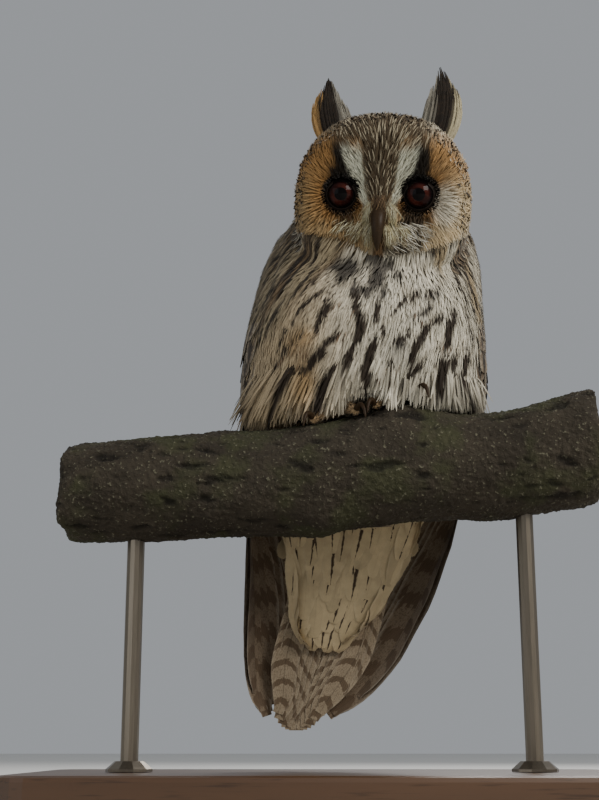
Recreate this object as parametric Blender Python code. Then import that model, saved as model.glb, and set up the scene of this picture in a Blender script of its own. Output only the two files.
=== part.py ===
# A long-eared owl at life size, perched upright on a short cut length of branch.
# The branch is carried by two rods on a flat base.
# Metres, +Z up. The owl faces -Y, and +X is at the viewer's right.
# The origin is the centre of the underside of the base.

import math

import bmesh
import bpy
from mathutils import Matrix, Vector

MM = 0.001
GAP = 0.35 * MM
HEAD_ROOM = 0.5 * MM

# Overall sizes
BODY_TOP_Z = 378 * MM
NECK_CUT_Z = 334 * MM
VENT_CUT_Z = 213 * MM
TAIL_TIP_Z = 43 * MM
BODY_POINTS = 22
BODY_RINGS = 9
SECTION_POWER = 2.25

# The head, in its own frame: X to the viewer's right, Y to the back, Z to the crown
HEAD_CENTRE = Vector((33, -20, 357)) * MM
HEAD_PITCH = math.radians(21)
HEAD_YAW = math.radians(-8)
HEAD_ROLL = math.radians(3.7)
HEAD_HALF_WIDTH = 52.5 * MM
HEAD_HALF_HEIGHT = 51 * MM
HEAD_BACK = 46 * MM
HEAD_FRONT = 33 * MM
HEAD_TURNS = 22
HEAD_LEVELS = 13
FACE_CUT_Y = -14 * MM
EYE_X = 22.8 * MM
EYE_Z = 2.5 * MM
EYE_RADIUS = 10.2 * MM
EYE_POLE_Y = -34.5 * MM

# The bill in the head's frame: its root, bend and tip, then half widths and half depths, in mm
UPPER_BILL_ROUTE = ((0, -33, -7), (0, -50, -14), (0, -43.5, -30.5))
UPPER_BILL_WIDTHS = (4.8, 4.7, 4.5, 4.1, 3.5, 2.7, 1.7, 0.4)
UPPER_BILL_DEPTHS = (4.6, 4.6, 4.4, 4.0, 3.3, 2.5, 1.5, 0.4)
LOWER_BILL_ROUTE = ((0, -31, -17), (0, -37, -20), (0, -38.5, -25.5))
LOWER_BILL_WIDTHS = (3.6, 3.4, 2.9, 2.1, 0.8)
LOWER_BILL_DEPTHS = (2.2, 2.1, 1.8, 1.3, 0.5)

# The ear tufts in the head's frame: root, bend and tip, then half widths and half depths, in mm
TUFT_ROUTES = (
    ("ear_tuft_right", (-25, 2, 28), (-37, 4, 52), (-35, 9, 75)),
    ("ear_tuft_left", (27, 2, 28), (40, 4, 58), (32, 9, 81)),
)
TUFT_WIDTHS = (7, 10, 11.4, 11.6, 10.6, 8.4, 5.2, 1.4)
TUFT_DEPTHS = (5, 5.2, 4.8, 4.0, 3.2, 2.4, 1.6, 0.6)

# The wings, the feathers under the tail, and the tail
WING_TOP_Z = 346 * MM
WING_TIP_Z = 52 * MM
WING_RINGS = 13
WING_STEPS = 7
VENT_TIP_Z = 92 * MM
VENT_RINGS = 9
VENT_POINTS = 18
TAIL_TOP_Z = 184 * MM
TAIL_Y = 45.4 * MM
TAIL_RINGS = 10
TAIL_POINTS = 16

# The perch, a knob on its top, a broken stub and a small snag beneath
PERCH_HALF_LENGTH = 155 * MM
PERCH_Y = -10 * MM
PERCH_RINGS = 20
PERCH_POINTS = 13
KNOB_X = 45
KNOB_TURN = math.radians(108)
KNOB_HEIGHT = 12.5
STUB_X = -6
STUB_TURN = math.radians(243)
STUB_HEIGHT = 9
SNAG_X = 92
SNAG_TURN = math.radians(262)
SNAG_HEIGHT = 6

# The feet
LEFT_FOOT = Vector((38, -7, 0)) * MM
LEFT_THIGH = Vector((44.5, -22, 0)) * MM
RIGHT_FOOT = Vector((2, -7, 0)) * MM
RIGHT_THIGH = Vector((-4, -22, 0)) * MM
LEG_FOOT_Z = 229 * MM
LEG_POINTS = 14
PALM_HALF_SIZE = Vector((9, 10, 7.5)) * MM
PALM_LIFT = 6.5 * MM
TOE_RADIUS = 5.4 * MM
TOE_SIZES = (1.0, 1.0, 0.9, 0.6)
FOOT_ROOM = 12.5 * MM
CLAW_RADIUS = 2.1 * MM
CLAW_REACH = 11 * MM
CLAW_RISE = 6.5 * MM
CLAW_DROP = 7 * MM

# The stand
BASE_LENGTH = 340 * MM
BASE_WIDTH = 200 * MM
BASE_HEIGHT = 22 * MM
BASE_CORNER = 18 * MM
ROD_RADIUS = 5 * MM
ROD_X = 112 * MM
COLLAR_RADIUS = 13 * MM
COLLAR_HEIGHT = 6 * MM

# Height, then the middle line x, half width, front y and back y of the whole body, in mm
BODY_STATIONS = (
    (380, 33, 20, -14, 16),
    (366, 32, 44, -14, 35),
    (350, 31, 57, -16, 46),
    (330, 28, 63, -24, 53),
    (307, 25, 66, -38, 58),
    (274, 22, 70, -47, 62),
    (254, 21, 71, -41, 63),
    (241, 21, 71, -35, 63),
    (230, 20, 70, -25, 62),
    (222, 20, 68, -2, 61),
    (213, 19, 66, 24, 60),
)

# Height, middle line x, half width, middle y and back y of the closed wings, in mm
WING_STATIONS = (
    (346, 30, 61, 15, 48),
    (330, 28, 67, 16, 57),
    (307, 25, 70, 14, 62),
    (274, 22, 74, 12, 66),
    (242, 21, 75, 16, 67),
    (208, 19, 71, 34, 66),
    (160, 13, 61, 45, 61),
    (125, 6, 52, 47, 58),
    (90, -4, 42, 46, 54),
    (66, -13, 31, 46, 51),
    (52, -20, 18, 46, 49),
)

# Height, then the angles of the wing's front and rear edges, in degrees, and thickness in mm
WING_EDGES = (
    (346, -12, 40, 5),
    (335, -22, 60, 11),
    (300, -27, 74, 13),
    (260, -20, 84, 11),
    (220, -8, 87, 9),
    (180, -4, 88, 7),
    (140, -2, 87, 5),
    (100, 0, 84, 3.6),
    (66, 0, 76, 2.4),
    (52, 10, 60, 1.4),
)

# Height, half width, front y and back y of the feathers under the tail, in mm
VENT_STATIONS = (
    (213, 64, 25, 62),
    (198, 58, 26, 60),
    (182, 47, 28, 50),
    (160, 39, 30.5, 42.2),
    (138, 33, 33, 42.2),
    (118, 27, 35.5, 42.2),
    (102, 19, 38, 42.2),
    (92, 8, 40.5, 42.2),
)

# Height, half width and thickness of the tail, in mm
TAIL_STATIONS = (
    (184, 22, 5.4),
    (150, 27, 5.2),
    (110, 29, 4.6),
    (80, 27, 3.8),
    (62, 20, 3.0),
    (50, 12.5, 2.2),
    (43, 5, 1.4),
)

# Height above the foot, half width and half depth of a feathered leg, in mm
LEG_STATIONS = (
    (0, 8, 8),
    (5, 13, 13),
    (12, 18.5, 18.5),
    (21, 21.5, 22),
    (31, 21.5, 23),
    (41, 18, 19),
    (48, 9, 10),
)

# Place along the branch, height of its middle, and radius, in mm
PERCH_STATIONS = (
    (-155, 177.5, 29.5),
    (-120, 180, 30.5),
    (-76, 182, 31.5),
    (-44, 183.5, 32),
    (-10, 187, 33),
    (20, 191, 33.5),
    (60, 193, 32),
    (88, 194.5, 31.5),
    (118, 198, 33),
    (155, 205, 37),
)

# Toes of the right foot, with how far each reaches along and across the branch, in mm
TOES = (
    ("inner_front", -13, -24),
    ("outer_front", 13, -22),
    ("inner_back", -7, 13),
    ("outer_back", 16, 8),
)

# Shade names with colour, roughness and metallic value
FINISHES = {
    "plumage_pale": ((0.62, 0.55, 0.43), 0.85, 0.0),
    "plumage_brown": ((0.20, 0.15, 0.10), 0.85, 0.0),
    "plumage_face": ((0.45, 0.29, 0.14), 0.85, 0.0),
    "eye": ((0.30, 0.05, 0.02), 0.08, 0.0),
    "horn": ((0.05, 0.045, 0.04), 0.35, 0.0),
    "bark": ((0.09, 0.085, 0.06), 0.95, 0.0),
    "rod_metal": ((0.22, 0.20, 0.18), 0.35, 0.9),
    "base_wood": ((0.10, 0.055, 0.03), 0.4, 0.0),
}


# Helpers

def clear_scene():
    """Remove every object, mesh and curve that the file starts with."""
    for thing in list(bpy.data.objects):
        bpy.data.objects.remove(thing, do_unlink=True)


def new_collection(name):
    """Make a collection under the scene's own."""
    collection = bpy.data.collections.new(name)
    bpy.context.scene.collection.children.link(collection)
    return collection


def make_finishes():
    """Make one Principled material for each finish."""
    finishes = {}
    for name, (colour, roughness, metallic) in FINISHES.items():
        material = bpy.data.materials.new(name)
        material.use_nodes = True
        shader = material.node_tree.nodes["Principled BSDF"]
        shader.inputs["Base Color"].default_value = (*colour, 1.0)
        shader.inputs["Roughness"].default_value = roughness
        shader.inputs["Metallic"].default_value = metallic
        finishes[name] = material
    return finishes


def read_row(rows, height):
    """Read a table of stations at a height, on a smooth curve through its rows."""
    ordered = sorted(rows)
    height_mm = height / MM
    if height_mm <= ordered[0][0]:
        return [value for value in ordered[0][1:]]
    if height_mm >= ordered[-1][0]:
        return [value for value in ordered[-1][1:]]
    index = 0
    while ordered[index + 1][0] < height_mm:
        index += 1
    low = ordered[index]
    high = ordered[index + 1]
    before = ordered[max(index - 1, 0)]
    after = ordered[min(index + 2, len(ordered) - 1)]
    span = high[0] - low[0]
    step = (height_mm - low[0]) / span
    values = []
    for column in range(1, len(low)):
        slope_low = (high[column] - before[column]) / (high[0] - before[0]) * span
        slope_high = (after[column] - low[column]) / (after[0] - low[0]) * span
        cube = step ** 3
        square = step ** 2
        value = (
            (2 * cube - 3 * square + 1) * low[column]
            + (cube - 2 * square + step) * slope_low
            + (3 * square - 2 * cube) * high[column]
            + (cube - square) * slope_high
        )
        values.append(value)
    return values


def spaced(start, end, count):
    """Evenly spaced values from start to end."""
    return [start + (end - start) * index / (count - 1) for index in range(count)]


def round_power(value, power):
    """A signed power, for rounded-square sections."""
    return math.copysign(abs(value) ** power, value)


def bump(value, width):
    """A smooth hump that is 1 at zero and falls away over the width."""
    return math.exp(-(value / width) ** 2)


def finish_object(name, mesh, collection, finish):
    """Link a mesh as an object with a smooth finish."""
    thing = bpy.data.objects.new(name, mesh)
    collection.objects.link(thing)
    if finish is not None:
        mesh.materials.append(finish)
    mesh.shade_smooth()
    mesh.set_sharp_from_angle(angle=math.radians(40))
    return thing


def mesh_from(bm, name):
    """Turn a bmesh into a mesh of triangles whose faces point outwards."""
    bmesh.ops.recalc_face_normals(bm, faces=bm.faces)
    bmesh.ops.triangulate(bm, faces=bm.faces)
    mesh = bpy.data.meshes.new(name)
    bm.to_mesh(mesh)
    bm.free()
    return mesh


def loft(name, rings, collection, finish):
    """A closed body through rings that have the same number of points."""
    bm = bmesh.new()
    loops = [[bm.verts.new(point) for point in ring] for ring in rings]
    count = len(loops[0])
    for lower, upper in zip(loops, loops[1:]):
        for index in range(count):
            following = (index + 1) % count
            bm.faces.new((lower[index], lower[following], upper[following], upper[index]))
    bm.faces.new(list(reversed(loops[0])))
    bm.faces.new(loops[-1])
    return finish_object(name, mesh_from(bm, name), collection, finish)


def hide_cutter(thing):
    """Mark an object as a cutter, which is no part of the owl."""
    thing.hide_render = True
    thing.display_type = "WIRE"


def grown_cutter(source, cutters, growth=GAP):
    """A copy of a body that is larger all round by the gap between two pieces."""
    cutter = bpy.data.objects.new(source.name + "_room", source.data.copy())
    cutters.objects.link(cutter)
    cutter.matrix_world = source.matrix_world.copy()
    swell = cutter.modifiers.new("swell", "DISPLACE")
    swell.strength = growth
    swell.mid_level = 0.0
    hide_cutter(cutter)
    return cutter


def cut(body, cutter):
    """Cut one body's room out of another."""
    modifier = body.modifiers.new("cut " + cutter.name, "BOOLEAN")
    modifier.operation = "DIFFERENCE"
    modifier.object = cutter
    modifier.solver = "EXACT"


def join(body, addition):
    """Join a helper shape to a body."""
    modifier = body.modifiers.new("join " + addition.name, "BOOLEAN")
    modifier.operation = "UNION"
    modifier.object = addition
    modifier.solver = "EXACT"
    hide_cutter(addition)


def trim(mesh, point, direction):
    """Cut a mesh off flat beyond a plane and close the cut."""
    bm = bmesh.new()
    bm.from_mesh(mesh)
    everything = list(bm.verts) + list(bm.edges) + list(bm.faces)
    bmesh.ops.bisect_plane(
        bm, geom=everything, dist=1e-7, plane_co=point, plane_no=direction, clear_outer=True
    )
    rim = [edge for edge in bm.edges if edge.is_boundary]
    bmesh.ops.edgeloop_fill(bm, edges=rim)
    bmesh.ops.recalc_face_normals(bm, faces=bm.faces)
    bm.to_mesh(mesh)
    bm.free()


# The trunk and neck

def body_ring(height):
    """One level section of the body, wider than it is deep."""
    middle, half_width, front, back = read_row(BODY_STATIONS, height)
    centre_y = (front + back) / 2
    half_depth = (back - front) / 2
    ring = []
    for index in range(BODY_POINTS):
        angle = 2 * math.pi * index / BODY_POINTS
        x = middle + half_width * round_power(math.cos(angle), 2 / SECTION_POWER)
        y = centre_y + half_depth * round_power(math.sin(angle), 2 / SECTION_POWER)
        ring.append(Vector((x * MM, y * MM, height)))
    return ring


def body_loft(name, low, high, count, collection, finish):
    """The length of the body between two levels."""
    rings = [body_ring(height) for height in spaced(low, high, count)]
    return loft(name, rings, collection, finish)


# The wings

def wing_ring(height, side):
    """One level section of a closed wing, a curved plate along the body's side."""
    middle, half_width, centre_y, back = read_row(WING_STATIONS, height)
    front_angle, rear_angle, thickness = read_row(WING_EDGES, height)
    half_depth = back - centre_y
    outer = []
    inner = []
    for index in range(WING_STEPS + 1):
        share = index / WING_STEPS
        angle = math.radians(front_angle + (rear_angle - front_angle) * share)
        reach_x = round_power(math.cos(angle), 2 / SECTION_POWER)
        reach_y = round_power(math.sin(angle), 2 / SECTION_POWER)
        outward = Vector((math.cos(angle) / half_width, math.sin(angle) / half_depth))
        outward.normalize()
        swell = 0.5 + 0.5 * math.sin(math.pi * share) ** 0.7
        depth = thickness * (0.12 + 0.88 * math.sin(math.pi * share) ** 0.7)
        x = half_width * reach_x + outward.x * (swell - 1)
        y = half_depth * reach_y + outward.y * (swell - 1)
        outer.append((x, y))
        inner.append((x - outward.x * depth, y - outward.y * depth))
    points = outer + inner[::-1]
    return [
        Vector(((middle + side * x) * MM, (centre_y + y) * MM, height)) for x, y in points
    ]


def make_wing(name, side, collection, finish):
    """A closed wing from the shoulder to the tips of its long feathers."""
    heights = spaced(WING_TIP_Z, WING_TOP_Z, WING_RINGS)
    return loft(name, [wing_ring(height, side) for height in heights], collection, finish)


# The tail and the feathers beneath it

def lean(height):
    """Middle line of the wings and tail at a height, in millimetres."""
    return read_row(WING_STATIONS, height)[0]


def make_vent(collection, finish):
    """The long soft feathers from the vent to two thirds down the tail."""
    rings = []
    for height in spaced(VENT_TIP_Z, VENT_CUT_Z - GAP, VENT_RINGS):
        half_width, front, back = read_row(VENT_STATIONS, height)
        middle = lean(height)
        ring = []
        for index in range(VENT_POINTS):
            angle = 2 * math.pi * index / VENT_POINTS
            x = middle + half_width * round_power(math.cos(angle), 0.8)
            y = (front + back) / 2 + (back - front) / 2 * round_power(math.sin(angle), 0.8)
            ring.append(Vector((x * MM, y * MM, height)))
        rings.append(ring)
    return loft("undertail_coverts", rings, collection, finish)


def make_tail(collection, finish):
    """The closed tail, a narrow plate with a round end."""
    rings = []
    for height in spaced(TAIL_TIP_Z, TAIL_TOP_Z, TAIL_RINGS):
        half_width, thickness = read_row(TAIL_STATIONS, height)
        past_wings = max(0.0, (WING_TIP_Z - height) / MM)
        middle = lean(height) - past_wings * 0.35
        ring = []
        for index in range(TAIL_POINTS):
            angle = 2 * math.pi * index / TAIL_POINTS
            x = middle + half_width * round_power(math.cos(angle), 0.9)
            crown = 1.0 * (1 - (x - middle) ** 2 / half_width ** 2)
            y = TAIL_Y / MM + crown + thickness / 2 * round_power(math.sin(angle), 0.7)
            ring.append(Vector((x * MM, y * MM, height)))
        rings.append(ring)
    return loft("tail", rings, collection, finish)


# The head

def head_matrix():
    """Turn and place the head's own frame."""
    turn = Matrix.Rotation(HEAD_YAW, 4, "Z") @ Matrix.Rotation(HEAD_PITCH, 4, "X")
    turn = turn @ Matrix.Rotation(HEAD_ROLL, 4, "Y")
    return Matrix.Translation(HEAD_CENTRE) @ turn


def head_point(direction):
    """The head's surface in a direction from its centre."""
    power = 2.25 if direction.z > 0 else 2.6
    reach = (abs(direction.x) ** power + abs(direction.z) ** power + abs(direction.y) ** 2.1)
    scale = reach ** (-1 / 2.25)
    x = HEAD_HALF_WIDTH * direction.x * scale
    z = HEAD_HALF_HEIGHT * direction.z * scale
    y = direction.y * scale
    if y > 0:
        return Vector((x, HEAD_BACK * y, z))
    front = HEAD_FRONT * min(1.0, abs(y) * 1.45) ** 0.8
    across = abs(x) - EYE_X
    dish = 6.5 * MM * math.exp(-((across / (17 * MM)) ** 2 + ((z - EYE_Z) / (24 * MM)) ** 2))
    ridge = 6 * MM * bump(x, 8 * MM) * bump(z + 8 * MM, 26 * MM)
    return Vector((x, -(front - dish + ridge), z))


def make_head_whole(collection):
    """The head with its two shallow dishes and the ridge between them."""
    bm = bmesh.new()
    bmesh.ops.create_uvsphere(bm, u_segments=HEAD_TURNS, v_segments=HEAD_LEVELS, radius=1.0)
    quarter = Matrix.Rotation(math.pi / 2, 4, "X")
    bmesh.ops.transform(bm, matrix=quarter, verts=bm.verts)
    for vert in bm.verts:
        vert.co = head_point(vert.co.normalized())
    mesh = mesh_from(bm, "head_whole")
    return finish_object("head_whole", mesh, collection, None)


def head_piece(name, whole, keep_front, collection, finish):
    """The part of the head before or behind the rim of the facial disc."""
    mesh = whole.data.copy()
    mesh.name = name
    if keep_front:
        trim(mesh, Vector((0, FACE_CUT_Y - GAP / 2, 0)), Vector((0, 1, 0)))
    else:
        trim(mesh, Vector((0, FACE_CUT_Y + GAP / 2, 0)), Vector((0, -1, 0)))
    piece = finish_object(name, mesh, collection, finish)
    piece.matrix_world = head_matrix()
    return piece


def make_eye(name, side, collection, finish):
    """One eyeball, its front just proud of the disc."""
    bm = bmesh.new()
    bmesh.ops.create_uvsphere(bm, u_segments=12, v_segments=7, radius=EYE_RADIUS)
    eye = finish_object(name, mesh_from(bm, name), collection, finish)
    place = Matrix.Translation((side * EYE_X, EYE_POLE_Y + EYE_RADIUS, EYE_Z))
    eye.matrix_world = head_matrix() @ place @ Matrix.Rotation(math.pi / 2, 4, "X")
    return eye


def swept(name, points, widths, depths, sides, collection, finish, power=1.0):
    """A tapering body along a bent line in the YZ plane of the head's frame or the world."""
    rings = []
    for index, point in enumerate(points):
        before = points[max(index - 1, 0)]
        after = points[min(index + 1, len(points) - 1)]
        along = (after - before).normalized()
        across = Vector((1, 0, 0))
        across = (across - along * across.dot(along)).normalized()
        up = along.cross(across)
        ring = []
        for corner in range(sides):
            angle = 2 * math.pi * corner / sides
            side_step = across * widths[index] * round_power(math.cos(angle), power)
            up_step = up * depths[index] * round_power(math.sin(angle), power)
            ring.append(point + side_step + up_step)
        rings.append(ring)
    return loft(name, rings, collection, finish)


def in_mm(route):
    """The points of a route that is given in millimetres."""
    return [Vector(point) * MM for point in route]


def scaled(sizes):
    """Sizes that are given in millimetres."""
    return [size * MM for size in sizes]


def arc_points(start, middle, end, count):
    """Points on a smooth bend from start past middle to end."""
    points = []
    for index in range(count):
        share = index / (count - 1)
        points.append(
            start * (1 - share) ** 2 + middle * 2 * share * (1 - share) + end * share ** 2
        )
    return points


def make_bill(collection, finish):
    """The hooked upper bill and the short lower one."""
    points = arc_points(*in_mm(UPPER_BILL_ROUTE), len(UPPER_BILL_WIDTHS))
    widths = scaled(UPPER_BILL_WIDTHS)
    depths = scaled(UPPER_BILL_DEPTHS)
    upper = swept("bill_upper", points, widths, depths, 10, collection, finish)
    points = arc_points(*in_mm(LOWER_BILL_ROUTE), len(LOWER_BILL_WIDTHS))
    widths = scaled(LOWER_BILL_WIDTHS)
    depths = scaled(LOWER_BILL_DEPTHS)
    lower = swept("bill_lower", points, widths, depths, 8, collection, finish)
    for piece in (upper, lower):
        piece.matrix_world = head_matrix()
    return upper, lower


def make_ear_tuft(name, route, collection, finish):
    """One tuft of long feathers that looks like an ear."""
    points = arc_points(*in_mm(route), len(TUFT_WIDTHS))
    tuft = swept(name, points, scaled(TUFT_WIDTHS), scaled(TUFT_DEPTHS), 10, collection, finish, 0.9)
    tuft.matrix_world = head_matrix()
    return tuft


# The perch

def towards(angle, direction):
    """1 where an angle points in the direction, 0 where it points away."""
    return math.cos(angle - direction) * 0.5 + 0.5


def perch_surface(place, angle):
    """Middle of the branch at a place along it, and its radius at an angle round it."""
    height, radius = read_row(PERCH_STATIONS, place)
    x = place / MM
    rough = 0.9 * math.sin(3 * angle + x / 17) + 0.7 * math.sin(5 * angle - x / 11)
    knob = KNOB_HEIGHT * bump(x - KNOB_X, 14) * towards(angle, KNOB_TURN) ** 14
    stub = STUB_HEIGHT * bump(x - STUB_X, 11) * towards(angle, STUB_TURN) ** 14
    snag = SNAG_HEIGHT * bump(x - SNAG_X, 8) * towards(angle, SNAG_TURN) ** 20
    return height * MM, (radius + rough + knob + stub + snag) * MM


def make_perch(collection, finish):
    """A short cut length of branch with a knob on top and a broken stub beneath."""
    rings = []
    for place in spaced(-PERCH_HALF_LENGTH, PERCH_HALF_LENGTH, PERCH_RINGS):
        ring = []
        for index in range(PERCH_POINTS):
            angle = 2 * math.pi * index / PERCH_POINTS
            height, radius = perch_surface(place, angle)
            y = PERCH_Y + radius * math.cos(angle)
            ring.append(Vector((place, y, height + radius * math.sin(angle))))
        rings.append(ring)
    return loft("perch", rings, collection, finish)


def perch_top(x, y):
    """Height of the bark straight above a point of the branch."""
    angle = math.pi / 2
    for _ in range(6):
        height, radius = perch_surface(x, angle)
        angle = math.acos(max(-1.0, min(1.0, (y - PERCH_Y) / radius)))
    return height + radius * math.sin(angle)


# Legs, feet and claws

def make_leg(name, foot, thigh, collection, finish):
    """A feathered thigh and shank, widest above and narrow at the foot."""
    rings = []
    for lift, half_width, half_depth in LEG_STATIONS:
        share = lift / LEG_STATIONS[-1][0]
        middle = foot.lerp(thigh, min(1.0, share * 1.6))
        ring = []
        for index in range(LEG_POINTS):
            angle = 2 * math.pi * index / LEG_POINTS
            x = middle.x + half_width * MM * math.cos(angle)
            y = middle.y + half_depth * MM * math.sin(angle)
            ring.append(Vector((x, y, LEG_FOOT_Z + lift * MM)))
        rings.append(ring)
    return loft(name, rings, collection, finish)


def toe_route(centre, reach_x, reach_y):
    """A toe lies along the bark from under the shank and bends down over it."""
    points = []
    for share in spaced(0.0, 1.0, len(TOE_SIZES)):
        x = centre.x + reach_x * MM * share
        y = centre.y + reach_y * MM * share
        height = perch_top(x, y) + TOE_RADIUS * (1.05 - 0.25 * share)
        points.append(Vector((x, y, height)))
    return points


def along_frame(points, index):
    """Directions across and above a route at one of its points."""
    before = points[max(index - 1, 0)]
    after = points[min(index + 1, len(points) - 1)]
    along = (after - before).normalized()
    across = along.cross(Vector((0, 0, 1))).normalized()
    return along, across, across.cross(along)


def tube(name, points, radii, sides, collection, finish):
    """A round tapering body along a route."""
    rings = []
    for index, point in enumerate(points):
        along, across, above = along_frame(points, index)
        ring = []
        for corner in range(sides):
            angle = 2 * math.pi * corner / sides
            ring.append(
                point + radii[index] * (across * math.cos(angle) + above * math.sin(angle))
            )
        rings.append(ring)
    return loft(name, rings, collection, finish)


def make_claw(name, toe, collection, finish):
    """A claw that rises from the toe's end and hooks down to the bark."""
    along, across, above = along_frame(toe, len(toe) - 1)
    flat = Vector((along.x, along.y, 0)).normalized()
    start = toe[-1] - flat * 1.5 * MM + Vector((0, 0, 1.2 * MM))
    bend = start + flat * (CLAW_REACH - 2 * MM) + Vector((0, 0, CLAW_RISE))
    end = start + flat * CLAW_REACH - Vector((0, 0, CLAW_DROP))
    points = arc_points(start, bend, end, 6)
    radii = [CLAW_RADIUS * (1 - index / 5) ** 0.7 + 0.25 * MM for index in range(6)]
    return tube(name, points, radii, 5, collection, finish)


def make_palm(name, centre, collection, finish):
    """The pad under the shank, from which the toes spread."""
    bm = bmesh.new()
    bmesh.ops.create_uvsphere(bm, u_segments=10, v_segments=6, radius=1.0)
    size = Matrix.Diagonal((*PALM_HALF_SIZE, 1.0))
    lift = perch_top(centre.x, centre.y) + PALM_LIFT
    place = Matrix.Translation((centre.x, centre.y, lift))
    bmesh.ops.transform(bm, matrix=place @ size, verts=bm.verts)
    return finish_object(name, mesh_from(bm, name), collection, finish)


def make_foot(side_name, centre, mirror, collection, helpers, finishes):
    """A foot with two toes forward and two back, and its toes and four claws."""
    name = "foot_" + side_name
    foot = make_palm(name, centre, collection, finishes["plumage_pale"])
    toes = []
    claws = []
    for toe_name, reach_x, reach_y in TOES:
        route = toe_route(centre, mirror * reach_x, reach_y)
        radii = [TOE_RADIUS * size for size in TOE_SIZES]
        toe = tube(name + "_" + toe_name, route, radii, 6, helpers, None)
        join(foot, toe)
        toes.append(toe)
        claw = make_claw(
            "claw_" + side_name + "_" + toe_name, route, collection, finishes["horn"]
        )
        claws.append(claw)
    return foot, toes, claws


# The stand

def make_base(collection, finish):
    """A flat base board with round corners and softened edges."""
    bm = bmesh.new()
    bmesh.ops.create_cube(bm, size=1.0)
    size = Matrix.Diagonal((BASE_LENGTH, BASE_WIDTH, BASE_HEIGHT, 1.0))
    place = Matrix.Translation((0, 0, BASE_HEIGHT / 2))
    bmesh.ops.transform(bm, matrix=place @ size, verts=bm.verts)
    corners = [
        edge for edge in bm.edges
        if abs(edge.verts[0].co.z - edge.verts[1].co.z) > BASE_HEIGHT / 2
    ]
    bmesh.ops.bevel(
        bm, geom=corners, offset=BASE_CORNER, segments=4, profile=0.5, affect="EDGES", material=-1
    )
    top_rim = [
        edge for edge in bm.edges
        if all(vert.co.z > BASE_HEIGHT * 0.99 for vert in edge.verts) and len(edge.link_faces) == 2
    ]
    bmesh.ops.bevel(
        bm, geom=top_rim, offset=3 * MM, segments=2, profile=0.5, affect="EDGES", material=-1
    )
    return finish_object("stand_base", mesh_from(bm, "stand_base"), collection, finish)


def make_rod(name, x, collection, finish):
    """A round rod from the base up into the underside of the branch."""
    bm = bmesh.new()
    height, radius = read_row(PERCH_STATIONS, x)
    top = (height - radius * 0.55) * MM
    foot = BASE_HEIGHT + GAP
    bmesh.ops.create_cone(
        bm, cap_ends=True, segments=12, radius1=ROD_RADIUS, radius2=ROD_RADIUS, depth=top - foot
    )
    place = Matrix.Translation((x, PERCH_Y, (top + foot) / 2))
    bmesh.ops.transform(bm, matrix=place, verts=bm.verts)
    return finish_object(name, mesh_from(bm, name), collection, finish)


def make_collar(name, x, collection, finish):
    """A turned collar round the foot of a rod."""
    profile = (
        (ROD_RADIUS + GAP, COLLAR_HEIGHT), (ROD_RADIUS + 3 * MM, COLLAR_HEIGHT),
        (COLLAR_RADIUS - 1.5 * MM, COLLAR_HEIGHT * 0.5), (COLLAR_RADIUS, COLLAR_HEIGHT * 0.3),
        (COLLAR_RADIUS, GAP), (ROD_RADIUS + GAP, GAP),
    )
    bm = bmesh.new()
    outline = [bm.verts.new((reach, 0, BASE_HEIGHT + lift)) for reach, lift in profile]
    edges = [bm.edges.new((first, second)) for first, second in zip(outline, outline[1:])]
    edges.append(bm.edges.new((outline[-1], outline[0])))
    bmesh.ops.spin(
        bm, geom=outline + edges, cent=(0, 0, 0), axis=(0, 0, 1), angle=2 * math.pi, steps=10,
        use_merge=True,
    )
    bmesh.ops.transform(bm, matrix=Matrix.Translation((x, PERCH_Y, 0)), verts=bm.verts)
    return finish_object(name, mesh_from(bm, name), collection, finish)


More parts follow.
